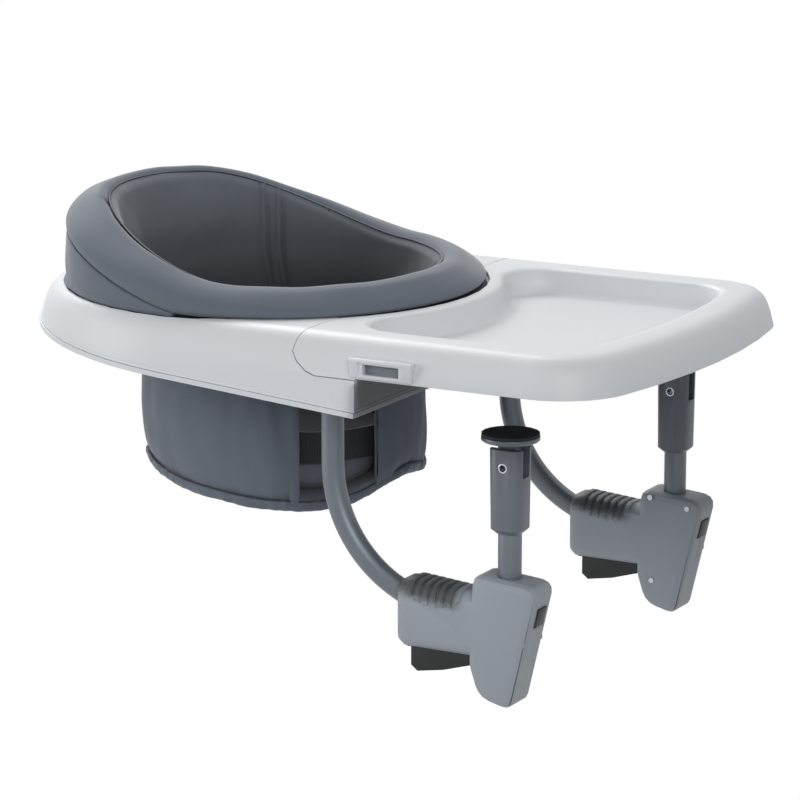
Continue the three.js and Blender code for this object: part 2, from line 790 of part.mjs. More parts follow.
function makeUnderCover() {
  const flat = slopedSlab(0, coverThickness, ringCentreX - rearReach - cutOverrun, housingFrontX);
  const outline = loft([
    housingLoop(-coverFlare - skirtFlare, -skirtDepth, housingFrontX),
    housingLoop(-coverFlare - skirtFlare, topHeight, housingFrontX),
  ]);
  let cover = outline.intersect(flat);
  const low = -skirtDepth;
  cover = cover.subtract(drum(ringCentreX, 0, wellRadius, low, topHeight, seatSteps));
  for (const y of pivotPlaces()) {
    cover = cover.subtract(drum(armX, y, bossRadius + fitGap, low, topHeight));
  }
  const stemRear = lockStemRearX();
  const half = lockNotchHalf - runningGap + fitGap;
  const from = stemRear - runningGap;
  const to = stemRear + lockStemLength + lockTravel + runningGap;
  return cover.subtract(box(from, to, -half, half, low, topHeight));
}

function lockStemRearX() {
  return ringCentreX - wellRadius - lockPawlLength;
}

// The seat lock: a pawl that enters a notch in the ring, its stem and the tab under the cover.
function makeTurnLock() {
  const half = lockNotchHalf - runningGap;
  const z = lockPawlZ();
  const tip = ringCentreX - ringSkirtRadius - ringLugReach - runningGap;
  const rear = lockStemRearX();
  const tabTop = undersideZ(rear + lockTabLength) - fitGap;
  const pawl = box(rear, tip, -half, half, z - lockPawlHeight / 2, z + lockPawlHeight / 2);
  const stem = box(rear, rear + lockStemLength, -half, half, tabTop - lockTabHeight / 2, z);
  const tab = filleted([
    [rear - lockStemLength / 2, tabTop, lockTabEdge],
    [rear - lockStemLength / 2, tabTop - lockTabHeight, lockTabRound],
    [rear + lockTabLength - lockStemLength / 2, tabTop - lockTabHeight, lockTabRound],
    [rear + lockTabLength - lockStemLength / 2, tabTop, lockTabEdge],
  ]);
  return pawl.add(stem).add(sidePlate(tab, lockTabHalfWidth));
}

function makeTray() {
  const wing = partingLine(partingGap);
  const rearX = partingTopX - partingReach;
  const side = [
    [wing[0][0], topHeight + cutOverrun],
    ...wing,
    [tableEdgeX, wing[wing.length - 1][1]],
    [tableEdgeX + fitGap, trayLift],
    [trayFrontX + cutOverrun, trayLift],
    [trayFrontX + cutOverrun, topHeight + cutOverrun],
  ];
  let tray = edgeForm(trayLoop, 0, 0, rearX).intersect(sidePlate(side, halfWidth + cutOverrun));
  let hollow = edgeForm(trayLoop, trayWall, trayWall, rearX - cutOverrun, 2);
  hollow = hollow.subtract(recessForm(trayWall, true));
  tray = tray.subtract(hollow);
  tray = tray.subtract(recessForm(0));
  const low = -skirtDepth;
  const top = topHeight + cutOverrun;
  tray = tray.subtract(drum(ringCentreX, 0, apertureRadius, low, top, seatSteps));
  for (const half of [-1, 1]) {
    tray = tray.subtract(latchHole(half, 0));
  }
  return tray;
}

// The opening in the tray's side that a latch frame fills, made smaller by a gap.
function latchHole(side, gap) {
  const half = latchLength / 2 - latchRim - gap;
  const [low, high] = sortedSides(side, halfWidth - edgeDepth / 2, halfWidth + cutOverrun);
  const fromZ = latchBottomZ + latchRim / 2 + gap;
  const toZ = latchBottomZ + latchHeight - latchRim / 2 - gap;
  return box(latchMidX - half, latchMidX + half, low, high, fromZ, toZ);
}

// The frame round a latch: a plug in the tray's side, a flat rim and a hood between two cheeks.
function makeLatchBezel(side) {
  const half = latchLength / 2;
  const topZ = latchBottomZ + latchHeight;
  const face = halfWidth + latchProud;
  const inner = halfWidth - edgeDepth / 3;
  const [low, high] = sortedSides(side, inner, face);
  let rim = box(latchMidX - half, latchMidX + half, low, high, latchBottomZ, topZ);
  const hoodFace = face + hoodProud;
  const [low1, high1] = sortedSides(side, inner, hoodFace);
  rim = rim.add(box(latchMidX - half, latchMidX + half, low1, high1, topZ - hoodHeight, topZ));
  for (const end of [-1, 1]) {
    const outer = latchMidX + end * half;
    const [from, to] = [outer, outer - end * hoodCheek].sort((p, q) => p - q);
    const cheek = loft([
      cheekLoop(from, side, inner, topZ),
      cheekLoop(to, side, inner, topZ),
    ]);
    rim = rim.add(cheek);
  }
  rim = rim.subtract(edgeForm(trayLoop, -fitGap, -fitGap, -halfWidth));
  const [low2, high2] = sortedSides(side, inner, face - hoodHollow);
  const plug = latchHole(side, fitGap).intersect(
    box(latchMidX - half, latchMidX + half, low2, high2, latchBottomZ, topZ),
  );
  const [low3, high3] = sortedSides(side, inner - cutOverrun, halfWidth + cutOverrun);
  const open = box(latchMidX - windowLength / 2, latchMidX + windowLength / 2, low3, high3,
    windowBottomZ, windowBottomZ + windowHeight);
  return rim.add(plug).subtract(open);
}

// A cheek of the hood in section, widest under the hood and gone at the bottom.
function cheekLoop(x, side, inner, topZ) {
  const face = halfWidth + latchProud;
  return [
    new THREE.Vector3(x, side * inner, latchBottomZ),
    new THREE.Vector3(x, side * face, latchBottomZ),
    new THREE.Vector3(x, side * (face + hoodProud), topZ - hoodHeight / 2),
    new THREE.Vector3(x, side * inner, topZ - hoodHeight / 2),
  ];
}

// The release plate behind a latch window, ribbed where the finger presses.
function makeLatchPlate(side) {
  const half = windowLength / 2 - fitGap;
  const face = halfWidth - latchPlateInset;
  const back = face - latchPlateDepth;
  const [low, high] = sortedSides(side, back, face);
  const fromZ = windowBottomZ + fitGap;
  const toZ = windowBottomZ + windowHeight - fitGap;
  let plate = box(latchMidX - half, latchMidX + half, low, high, fromZ, toZ);
  const pitch = (toZ - fromZ) / (latchRibCount + 1 / 2);
  for (let i = 0; i < latchRibCount; i += 1) {
    const [low1, high1] = sortedSides(side, face - latchRibDepth, face + cutOverrun);
    const z = fromZ + pitch * (i + 1 / 2);
    const groove = box(latchMidX - half - fitGap, latchMidX + half + fitGap, low1, high1,
      z, z + pitch / 2);
    plate = plate.subtract(groove);
  }
  const tip = sideRestOuter - runningGap;
  const [low2, high2] = sortedSides(side, tip, face - latchPlateDepth / 2);
  const toothHalf = latchToothLength / 2;
  const tooth = box(latchMidX - toothHalf, latchMidX + toothHalf, low2, high2, fromZ, toZ);
  return plate.add(tooth);
}

// A ring or a sector whose section of radii and heights depends on the angle. A third value moves
// a point forwards, for the bucket, whose middle lies in front of the ring's.
function seatSweep(section, from, to, steps, runsRound) {
  const loops = [];
  const count = runsRound ? steps : steps + 1;
  for (let step = 0; step < count; step += 1) {
    const angle = THREE.MathUtils.lerp(from, to, step / steps);
    const loop = section(angle).map(([radius, z, ahead = 0]) => new THREE.Vector3(
      ringCentreX + ahead + radius * Math.cos(angle),
      radius * Math.sin(angle),
      z,
    ));
    loops.push(loop);
  }
  return loft(loops, runsRound);
}

function fromFront(angle) {
  return Math.abs(Math.atan2(Math.sin(angle), Math.cos(angle)));
}

// Height of the padded rim: level in front, rising to the sides of the child's back, and a little
// lower again in the middle of it.
function rimTopZ(angle) {
  const away = fromFront(angle);
  const rise = THREE.MathUtils.smoothstep(away, rimRiseFrom, rimRiseFrom + rimRiseOver);
  return rimFrontZ + rimRise * rise - rimDip * THREE.MathUtils.smoothstep(away, rimDipFrom, Math.PI);
}

function makeTurningRing() {
  const flangeZ = topHeight - counterboreDepth + fitGap;
  const flangeTop = rimFrontZ - rimHeight - fitGap;
  const skirtInner = ringSkirtRadius - ringSkirtWall;
  const skirtZ = flangeZ - ringSkirtDepth;
  const outer = counterboreRadius - runningGap;
  let ring = turned([
    [ringBoreRadius, flangeZ],
    [skirtInner, flangeZ],
    [skirtInner, skirtZ],
    [ringSkirtRadius, skirtZ],
    [ringSkirtRadius, flangeZ],
    [outer, flangeZ],
    [outer, flangeTop],
    [ringBoreRadius, flangeTop],
    [ringBoreRadius, flangeZ],
  ], ringCentreX, 0, seatSteps);
  const lugTop = topHeight - counterboreDepth - ledgeThickness - runningGap;
  for (let i = 0; i < ringLugCount; i += 1) {
    const middle = (i * Math.PI * 2) / ringLugCount;
    const inside = ringSkirtRadius - ringSkirtWall / 2;
    const outside = ringSkirtRadius + ringLugReach;
    const section = () => [
      [inside, lugTop - ringLugHeight],
      [outside, lugTop - ringLugHeight],
      [outside, lugTop],
      [inside, lugTop],
    ];
    const lug = seatSweep(section, middle - ringLugAngle / 2, middle + ringLugAngle / 2, lugSteps,
      false);
    ring = ring.add(lug);
    const notch = box(ringSkirtRadius, ringSkirtRadius + ringLugReach * 2, -lockNotchHalf,
      lockNotchHalf, lugTop - ringLugHeight * 2, lugTop + runningGap / 2);
    const turn = THREE.MathUtils.radToDeg(middle);
    ring = ring.subtract(notch.rotate([0, 0, turn]).translate([ringCentreX, 0, 0]));
  }
  return ring;
}

// A flattened round section with a given squareness, as offsets from its middle.
function roundSection(halfWide, halfHigh, points, squareness) {
  const outline = [];
  for (let i = 0; i < points; i += 1) {
    const angle = (i / points) * Math.PI * 2;
    const across = Math.cos(angle);
    const up = Math.sin(angle);
    outline.push([
      halfWide * Math.sign(across) * Math.abs(across) ** (2 / squareness),
      halfHigh * Math.sign(up) * Math.abs(up) ** (2 / squareness),
    ]);
  }
  return outline;
}

function makeRimPad() {
  const outline = roundSection(rimWidth / 2, rimHeight / 2, rimPoints, rimSquareness);
  const middle = rimOuterRadius - rimWidth / 2;
  const section = (angle) => outline.map(([across, up]) => [
    middle + across,
    rimTopZ(angle) - rimHeight / 2 + up,
  ]);
  return seatSweep(section, 0, Math.PI * 2, seatSteps, true);
}

function makeBolster() {
  const inner = rimOuterRadius - rimWidth;
  const bottom = rimFrontZ - rimHeight;
  const section = (angle) => {
    const top = rimTopZ(angle) - rimHeight - rimSeam;
    return [
      [inner, bottom],
      [bolsterRadius, bottom],
      [bolsterRadius, top],
      [inner, top],
    ];
  };
  return seatSweep(section, bolsterFrom, Math.PI * 2 - bolsterFrom, bolsterSteps, false);
}

function makeLiner() {
  const outer = ringBoreRadius - fitGap;
  const section = (angle) => {
    const top = rimTopZ(angle) - linerTopDrop;
    return [
      [bucketRadius, linerBottomZ, bucketShift],
      [outer, linerBreakZ],
      [outer, top],
      [outer - linerWall, top],
      [outer - linerWall, linerBreakZ],
      [bucketRadius - linerWall, linerBottomZ, bucketShift],
    ];
  };
  return seatSweep(section, 0, Math.PI * 2, seatSteps, true);
}

// Height of the bucket's lower edge, which hangs lower in front and lifts between the legs.
function hemZ(angle) {
  const away = fromFront(angle);
  const lift = crotchRise * Math.exp(-((away / crotchRiseAngle) ** 2));
  return seatMidZ - seatTiltShare * bucketRadius * Math.cos(angle) + lift;
}

function makeFabricWall(from, to, steps) {
  const inner = bucketRadius - fabricWall;
  const top = linerBottomZ - fitGap;
  const section = (angle) => {
    const bottom = hemZ(angle) + hemHeight + wallHemGap;
    return [
      [inner, bottom, bucketShift],
      [bucketRadius, bottom, bucketShift],
      [bucketRadius, top, bucketShift],
      [inner, top, bucketShift],
    ];
  };
  return seatSweep(section, from, to, steps, false);
}

// A level loop of the seat board or the cushion, tilted with the seat.
function seatLoop(radius, above, liftShare, steps = seatSteps) {
  const loop = [];
  for (let step = 0; step < steps; step += 1) {
    const angle = (step / steps) * Math.PI * 2;
    const flat = seatMidZ - seatTiltShare * radius * Math.cos(angle);
    const edge = hemZ(angle) - seatMidZ + seatTiltShare * bucketRadius * Math.cos(angle);
    const z = flat + above + edge * liftShare;
    loop.push(new THREE.Vector3(
      bucketX + radius * Math.cos(angle),
      radius * Math.sin(angle),
      z,
    ));
  }
  return loop;
}

function makeSeatBase() {
  const outer = bucketRadius + hemProud;
  const inner = bucketRadius - fabricWall - hemProud;
  const loops = baseRadiusShares.map((share, i) => {
    const radius = THREE.MathUtils.lerp(inner, outer, baseProudShares[i]) * share;
    return seatLoop(radius, hemHeight * baseHeightShares[i], baseLiftShares[i]);
  });
  return loft(loops);
}

function makeCushion() {
  const bottom = hemHeight + fitGap;
  const loops = cushionRadiusShares.map((share, i) => {
    const above = bottom + cushionHeightShares[i] * cushionThickness;
    return seatLoop(cushionRadius * share, above, 0, cushionSteps);
  });
  const crownZ = bottom + cushionThickness + cushionCrown;
  loops.push(seatLoop(cushionRadius * cushionCrownShare, crownZ, 0, cushionSteps));
  const buckleBack = bucklePlace().x - buckleGap - buckleThickness;
  const half = buckleLength / 2 + runningGap;
  const low = seatMidZ * 2;
  const notch = box(buckleBack - runningGap, buckleBack + cutOverrun, -half, half, low, 0);
  return loft(loops).subtract(notch);
}

// Height at which the harness lies above the seat at an angle and radius.
function harnessZ(angle, radius) {
  const seat = seatMidZ - seatTiltShare * radius * Math.cos(angle) + hemHeight;
  return seat + cushionThickness + lapStrapHeight;
}

// A lap strap along the wall: fixed to it at its rear end and clear of it in front.
function makeLapStrap(side) {
  const wall = bucketRadius - fabricWall - fitGap;
  const section = (angle) => {
    const along = (lapStrapTo - fromFront(angle)) / (lapStrapTo - lapStrapFrom);
    const outer = wall - lapStrapClear * THREE.MathUtils.smoothstep(along, 0, lapStrapSpringShare);
    const low = harnessZ(angle, wall) - lapStrapFall * (1 - along);
    return [
      [outer - strapThickness, low, bucketShift],
      [outer, low, bucketShift],
      [outer, low + strapWidth, bucketShift],
      [outer - strapThickness, low + strapWidth, bucketShift],
    ];
  };
  return seatSweep(section, side * lapStrapFrom, side * lapStrapTo, lapStrapSteps, false);
}

function bucklePlace() {
  const radius = bucketRadius - fabricWall - fitGap - lapStrapClear - strapThickness;
  return { x: bucketX + radius, z: harnessZ(0, radius) + strapWidth / 2 };
}

function makeBuckle() {
  const place = bucklePlace();
  const outer = place.x - buckleGap;
  const half = buckleLength / 2;
  const bottom = place.z - buckleHeight / 2;
  const top = place.z + buckleHeight / 2;
  const outline = filleted([
    [-half, bottom, buckleCorner],
    [half, bottom, buckleCorner],
    [half, top, buckleCorner],
    [-half, top, buckleCorner],
  ]);
  const loops = [0, 1].map((end) => outline.map(([y, z]) => new THREE.Vector3(
    outer - end * buckleThickness,
    y,
    z,
  )));
  return loft(loops);
}

function crotchStrapPlace() {
  const place = bucklePlace();
  const x = place.x - buckleGap - buckleThickness / 2;
  const bottom = seatMidZ - seatTiltShare * (x - bucketX) + hemHeight + fitGap;
  return { x, bottom, top: place.z - buckleHeight / 2 - fitGap };
}

function makeCrotchStrap() {
  const place = crotchStrapPlace();
  const half = strapWidth / 2;
  return box(place.x, place.x + strapThickness, -half, half, place.bottom, place.top);
}

// The centre line of an arm: straight down, then a long bend forwards under the table, with a
// straight length in it where the arm runs into the clamp.
class ArmPath extends THREE.Curve {
  constructor(topZ, extra) {
    super();
    this.topZ = topZ;
    this.straight = topZ - armBendStartZ;
    this.bent = this.straight + armBendRadius * armMidAngle;
    this.total = this.straight + armBendRadius * armBendAngle + armMidLength + extra;
  }

  getPoint(share, target = new THREE.Vector3()) {
    const travelled = share * this.total;
    if (travelled < this.straight) {
      return target.set(armX, 0, this.topZ - travelled);
    }
    const tail = THREE.MathUtils.clamp(travelled - this.bent, 0, armMidLength);
    const angle = (travelled - tail - this.straight) / armBendRadius;
    const x = armX + armBendRadius * (1 - Math.cos(angle)) + tail * Math.sin(armMidAngle);
    const z = armBendStartZ - armBendRadius * Math.sin(angle) - tail * Math.cos(armMidAngle);
    return target.set(x, 0, z);
  }
}

function armForm(radius, bore, extra) {
  const topZ = bossSeatZ + fitGap + bushFlange;
  const shape = new THREE.Shape(circlePoints(radius));
  if (bore > 0) {
    shape.holes.push(new THREE.Path(circlePoints(bore).reverse()));
  }
  const geometry = new THREE.ExtrudeGeometry(shape, {
    steps: tubeSteps,
    bevelEnabled: false,
    extrudePath: new ArmPath(topZ, extra),
  });
  return solidOf(geometry);
}

function circlePoints(radius) {
  const points = [];
  for (let i = 0; i < tubeSides; i += 1) {
    const angle = ((i + 1 / 2) / tubeSides) * Math.PI * 2;
    points.push(new THREE.Vector2(radius * Math.cos(angle), radius * Math.sin(angle)));
  }
  return points;
}

function makeArm() {
  const tube = armForm(tubeRadius, tubeRadius - tubeWall, 0);
  const collarTop = bossBottomZ - fitGap;
  const collar = drum(armX, 0, bossRadius - bushWall, collarTop - collarHeight, collarTop);
  const boreRadius = tubeRadius - tubeWall / 2;
  const bore = drum(armX, 0, boreRadius, collarTop - collarHeight * 2, collarTop + collarHeight);
  return tube.add(collar.subtract(bore));
}

function makeBush(y) {
  const bore = tubeRadius + fitGap;
  const outer = bore + bushWall;
  const flange = outer + bushFlangeReach;
  const seat = bossSeatZ + fitGap;
  const bottom = bossBottomZ + fitGap;
  return turned([
    [bore, bottom],
    [outer, bottom],
    [outer, seat],
    [flange, seat],
    [flange, seat + bushFlange],
    [bore, seat + bushFlange],
    [bore, bottom],
  ], armX, y, drumSides);
}

function makeRetainer() {
  const seat = bossSeatZ + fitGap + bushFlange + fitGap;
  const plug = tubeRadius - tubeWall - fitGap * 2;
  const cap = tubeRadius + bushWall + bushFlangeReach;
  return turned([
    [0, seat - retainerPlug],
    [plug, seat - retainerPlug],
    [plug, seat],
    [cap, seat],
    [cap, seat + retainerThickness],
    [0, seat + retainerThickness],
  ], armX, 0, drumSides);
}

// Corners of the clamp's tower in side view, drawn in by a wall.
function towerOutline(inset, topZ) {
  const width = towerWidth - inset * 2;
  const height = towerTopZ - inset - (towerTopZ - towerHeight + inset);
  const corners = towerXShares.map((share, i) => [
    towerLeftX + inset + share * width,
    Math.min(topZ, towerTopZ - inset - towerZShares[i] * height),
    towerFilletShares[i] * towerWidth - inset,
  ]);
  return filleted(corners);
}

function towerForm() {
  const outline = towerOutline(0, towerTopZ);
  const shape = new THREE.Shape(outline.map(([x, z]) => new THREE.Vector2(x, z)));
  const geometry = new THREE.ExtrudeGeometry(shape, {
    depth: (clampHalf - towerBevel) * 2,
    bevelThickness: towerBevel,
    bevelSize: towerBevel,
    bevelOffset: -towerBevel,
    bevelSegments: towerBevelSteps,
  });
  geometry.translate(0, 0, towerBevel - clampHalf);
  geometry.rotateX(Math.PI / 2);
  return solidOf(geometry);
}

// A rounded section across the grip at one place along X.
function gripLoop(share, insetShare, grow) {
  const x = THREE.MathUtils.lerp(gripLeftX, gripRightX, share);
  const inset = insetShare * clampHalf - grow;
  const drop = share * gripDrop;
  const half = clampHalf - inset;
  const top = gripTopZ - drop - inset;
  const bottom = gripTopZ - gripHeight + inset;
  const corner = Math.max(gripCorner - inset, gripCorner / 3);
  const outline = filleted([
    [-half, bottom, corner],
    [half, bottom, corner],
    [half, top, corner],
    [-half, top, corner],
  ]);
  return outline.map(([y, z]) => new THREE.Vector3(x - grow * (insetShare > 0), y, z));
}

function gripForm(grow) {
  const loops = gripStationShares.map((share, i) => gripLoop(share, gripInsetShares[i], grow));
  return loft(loops);
}

// Finger ribs over the grip, which end on an arc down its sides.
function gripRibs() {
  const middleX = gripRibFromX + (gripRibCount * gripRibPitch) / 2;
  const zone = [];
  for (let step = 0; step <= gripRibSteps; step += 1) {
    const angle = Math.PI * (1 + step / gripRibSteps);
    zone.push([
      middleX + gripRibRadius * Math.cos(angle),
      gripTopZ + gripRibRise + gripRibRadius * Math.sin(angle),
    ]);
  }
  const skin = gripForm(gripRibProud).intersect(sidePlate(zone, clampHalf + cutOverrun));
  const half = clampHalf + cutOverrun;
  const low = gripTopZ - gripHeight;
  const ribs = [];
  for (let i = 0; i < gripRibCount; i += 1) {
    const x = gripRibFromX + i * gripRibPitch;
    ribs.push(skin.intersect(box(x, x + gripRibWidth, -half, half, low, gripTopZ + cutOverrun)));
  }
  return ribs;
}

// X of the tower's sloping nose face at a height.
function noseX(z) {
  const top = [towerLeftX + towerXShares[1] * towerWidth, towerTopZ - towerZShares[1] * towerHeight];
  const low = [towerLeftX + towerXShares[2] * towerWidth, towerTopZ - towerZShares[2] * towerHeight];
  return THREE.MathUtils.mapLinear(z, top[1], low[1], top[0], low[0]);
}

// A slab that follows the nose face between two depths and two heights.
function noseSlab(fromDepth, toDepth, lowZ, highZ, half) {
  return sidePlate([
    [noseX(lowZ) - fromDepth, lowZ],
    [noseX(highZ) - fromDepth, highZ],
    [noseX(highZ) - toDepth, highZ],
    [noseX(lowZ) - toDepth, lowZ],
  ], half);
}

// The whole casing of a clamp about its own middle plane, before it is split.
function makeCasing(side) {
  let body = towerForm().add(gripForm(0));
  for (const rib of gripRibs()) {
    body = body.add(rib);
  }
  const inside = clampHalf - clampWall;
  const cavity = sidePlate(towerOutline(clampWall, towerTopZ - towerTopThickness), inside);
  body = body.subtract(cavity);
  const guide = box(postX - postRadius, noseX(lowerGuideZ) - clampWall / 2, -inside - fitGap,
    inside + fitGap, lowerGuideZ - guideThickness, lowerGuideZ);
  body = body.add(guide);
  const seat = box(postX - springSeatBehind, postX + springSeatAhead, -inside - fitGap,
    inside + fitGap, springSeatZ - springSeatThickness, springSeatZ);
  body = body.add(seat);
  for (const name of Object.keys(screwPlaces)) {
    const [x, z] = screwPlaces[name];
    body = body.add(crossPin(x, z, screwBoss, -inside - fitGap, inside + fitGap, screwHeadSides));
  }
  body = body.subtract(drum(postX, 0, postRadius + guideGap, postBottomZ, towerTopZ + cutOverrun));
  const channel = armForm(tubeRadius + fitGap, 0, fitGap);
  body = body.subtract(channel);
  const lowZ = towerTopZ - towerHeight - cutOverrun;
  const wallX = towerLeftX + Math.min(...towerXShares) * towerWidth + clampWall / 2;
  const slot = [
    [slotLeftX, lowZ],
    [wallX, lowZ],
    [wallX, triggerTopZ - triggerDepth * slotLowShare],
    [triggerLeftX + triggerLength + runningGap, triggerTopZ - triggerDepth * slotMidShare],
    [triggerLeftX + triggerLength + runningGap, slotTopZ - slotTopDrop],
    [slotLeftX, slotTopZ],
  ];
  body = body.subtract(sidePlate(slot, slotHalf));
  const socket = triggerArmOuter + trunnionLength + fitGap;
  body = body.subtract(crossPin(triggerPivotX, triggerPivotZ, trunnionRadius + fitGap, -socket, socket));
  const buttonLow = buttonZ - buttonHeight / 2 - fitGap;
  const buttonHigh = buttonZ + buttonHeight / 2 + fitGap;
  const window = noseSlab(-cutOverrun / 2, clampWall * 2, buttonLow, buttonHigh, buttonHalf + fitGap);
  body = body.subtract(window);
  for (const name of Object.keys(screwPlaces)) {
    const [x, z] = screwPlaces[name];
    const face = -side * (clampHalf + screwHeadProud);
    const [headLow, headHigh] = [face, face + side * (screwHeadHeight + fitGap)].sort((p, q) => p - q);
    const headBore = screwHeadRadius + fitGap;
    body = body.subtract(crossPin(x, z, headBore, headLow, headHigh, screwHeadSides));
    const tip = face + side * (screwLength + fitGap);
    const [low, high] = [face, tip].sort((p, q) => p - q);
    const shankBore = screwShankRadius + fitGap;
    body = body.subtract(crossPin(x, z, shankBore, low, high, screwShankSides));
  }
  return body;
}

function halfOf(casing, side) {
  const far = clampHalf + cutOverrun;
  const [low, high] = sortedSides(side, splitGap / 2, far);
  const fromX = gripLeftX - cutOverrun;
  const toX = towerLeftX + towerWidth + cutOverrun;
  const fromZ = towerTopZ - towerHeight - cutOverrun;
  return casing.intersect(box(fromX, toX, low, high, fromZ, towerTopZ + cutOverrun));
}

function makeScrew(side, name) {
  const [x, z] = screwPlaces[name];
  const face = -side * (clampHalf + screwHeadProud);
  const [headLow, headHigh] = [face, face + side * screwHeadHeight].sort((p, q) => p - q);
  const [low, high] = [face, face + side * screwLength].sort((p, q) => p - q);
  const head = crossPin(x, z, screwHeadRadius, headLow, headHigh, screwHeadSides);
  return head.add(crossPin(x, z, screwShankRadius, low, high, screwShankSides));
}

// The squeeze lever: a finger bar, two arms past the post, noses that lift the drive plate, and
// trunnions that turn in the casing.
function makeTrigger() {
  const bar = triggerXShares.map((share, i) => [
    triggerLeftX + share * triggerLength,
    triggerTopZ - triggerZShares[i] * triggerDepth,
  ]);
  let lever = sidePlate(bar, triggerHalf);
  const wide = (triggerArmOuter - triggerArmInner) / 2;
  const barEnd = triggerLeftX + triggerLength;
  const noseFrom = barEnd + runningGap / 2;
  const armLow = triggerTopZ - armLeverHeight;
  const tip = triggerPivotX + armLeverHeight / 2;
  const arm = [
    [barEnd - noseWidth, armLow],
    [tip, armLow],
    [tip, triggerTopZ - armLeverTaper],
    [noseFrom + noseWidth, triggerTopZ],
    [noseFrom + noseWidth, triggerTopZ + noseHeight],
    [noseFrom, triggerTopZ + noseHeight],
    [noseFrom, triggerTopZ],
    [barEnd - noseWidth, triggerTopZ],
  ];
  for (const side of [-1, 1]) {
    lever = lever.add(sidePlate(arm, wide, side * (triggerArmInner + wide)));
    const [low, high] = sortedSides(side, triggerArmInner + wide, triggerArmOuter + trunnionLength);
    lever = lever.add(crossPin(triggerPivotX, triggerPivotZ, trunnionRadius, low, high));
  }
  return lever;
}

// A flat plate with a bore that the post passes through.
function makeGripPlate(fromX, topZ) {
  const toX = fromX + plateLength;
  const plate = box(fromX, toX, -plateHalf, plateHalf, topZ - plateThickness, topZ);
  const bore = postRadius + plateBoreGap;
  return plate.subtract(drum(postX, 0, bore, topZ - plateThickness * 2, topZ + plateThickness));
}

class SpringPath extends THREE.Curve {
  constructor(bottomZ, topZ) {
    super();
    this.bottomZ = bottomZ;
    this.topZ = topZ;
  }

  getPoint(share, target = new THREE.Vector3()) {
    const angle = share * springTurns * Math.PI * 2;
    const z = THREE.MathUtils.lerp(this.bottomZ, this.topZ, share);
    const x = postX + springRadius * Math.cos(angle);
    return target.set(x, springRadius * Math.sin(angle), z);
  }
}

function makeSpring() {
  const section = [];
  for (let i = 0; i < springSides; i += 1) {
    const angle = (i / springSides) * Math.PI * 2;
    section.push(new THREE.Vector2(springWire * Math.cos(angle), springWire * Math.sin(angle)));
  }
  const low = drivePlateTopZ + fitGap + springWire;
  const high = springSeatZ - springSeatThickness - fitGap - springWire;
  const geometry = new THREE.ExtrudeGeometry(new THREE.Shape(section), {
    steps: springTurns * springStepsPerTurn,
    bevelEnabled: false,
    extrudePath: new SpringPath(low, high),
  });
  return solidOf(geometry);
}

// The release button: a pad in the nose, a flange behind the wall and a tail under the lock plate.
function makeButton() {
  const low = buttonZ - buttonHeight / 2;
  const high = buttonZ + buttonHeight / 2;
  const back = clampWall + fitGap + runningGap;
  const pad = noseSlab(-buttonProud, back + buttonFlange, low, high, buttonHalf);
  const flange = noseSlab(back, back + buttonFlange, low - buttonLip, high + buttonLip,
    buttonHalf + buttonLip);
  const tailTop = lockPlateTopZ - plateThickness - fitGap;
  const tail = box(buttonTailX, noseX(tailTop) - clampWall * 2, -buttonTailHalf, buttonTailHalf,
    tailTop - buttonTailHeight, tailTop);
  return pad.add(flange).add(tail);
}

function makePost() {
  return drum(postX, 0, postRadius, postBottomZ, postTopZ);
}

// A rounded rectangle across the post at a height.
function sleeveLoop(half, corner, z) {
  const outline = filleted([
    [-half, -half, corner],
    [half, -half, corner],
    [half, half, corner],
    [-half, half, corner],
  ]);
  return outline.map(([x, y]) => new THREE.Vector3(postX + x, y, z));
}

function makeSleeve() {
  const top = sleeveHalf + sleeveFlare;
  const mouth = sleeveHalf - sleeveChamfer;
  const mouthCorner = sleeveCorner - sleeveChamfer / 2;
  let sleeve = loft([
    sleeveLoop(mouth, mouthCorner, sleeveBottomZ),
    sleeveLoop(sleeveHalf, sleeveCorner, sleeveBottomZ + sleeveChamfer),
    sleeveLoop(top, sleeveCorner, sleeveTopZ),
  ]);
  const bore = drum(postX, 0, postRadius + fitGap, sleeveBottomZ - cutOverrun, postTopZ + fitGap);
  sleeve = sleeve.subtract(bore);
  const half = footTongueHalf + fitGap * 2;
  const slotBottom = footPinZ - footTongueBelow - runningGap * 2;
  const slot = box(postX - cutOverrun, postX + cutOverrun, -half, half, slotBottom,
    sleeveTopZ + cutOverrun);
  sleeve = sleeve.subtract(slot);
  const far = sleeveHalf + cutOverrun;
  return sleeve.subtract(crossPin(postX, footPinZ, footPinRadius + fitGap, -far, far));
}

function makeFootPin() {
  const half = sleeveHalf + fitGap;
  const pin = crossPin(postX, footPinZ, footPinRadius, -half, half);
  return pin.subtract(crossPin(postX, footPinZ, footPinBore, -half * 2, half * 2));
}

function makeFootPlate() {
  const top = -tableThickness - footPadThickness - fitGap;
  const bottom = top - footPlateThickness;
  const rim = footRim;
  let plate = turned([
    [0, bottom],
    [footRadius - rim, bottom],
    [footRadius, bottom + rim],
    [footRadius, top],
    [0, top],
  ], postX, 0, footSides);
  const half = footTongueWidth / 2;
  const low = footPinZ - footTongueBelow;
  const tongue = filleted([
    [postX - half, low, footTongueRound],
    [postX + half, low, footTongueRound],
    [postX + half, bottom + rim, rim / 2],
    [postX - half, bottom + rim, rim / 2],
  ]);
  plate = plate.add(sidePlate(tongue, footTongueHalf));
  const far = footTongueHalf * 2;
  return plate.subtract(crossPin(postX, footPinZ, footPinRadius + fitGap, -far, far));
}

function makeFootPad() {
  const radius = footRadius - fitGap;
  return drum(postX, 0, radius, -tableThickness - footPadThickness, -tableThickness, footSides);
}

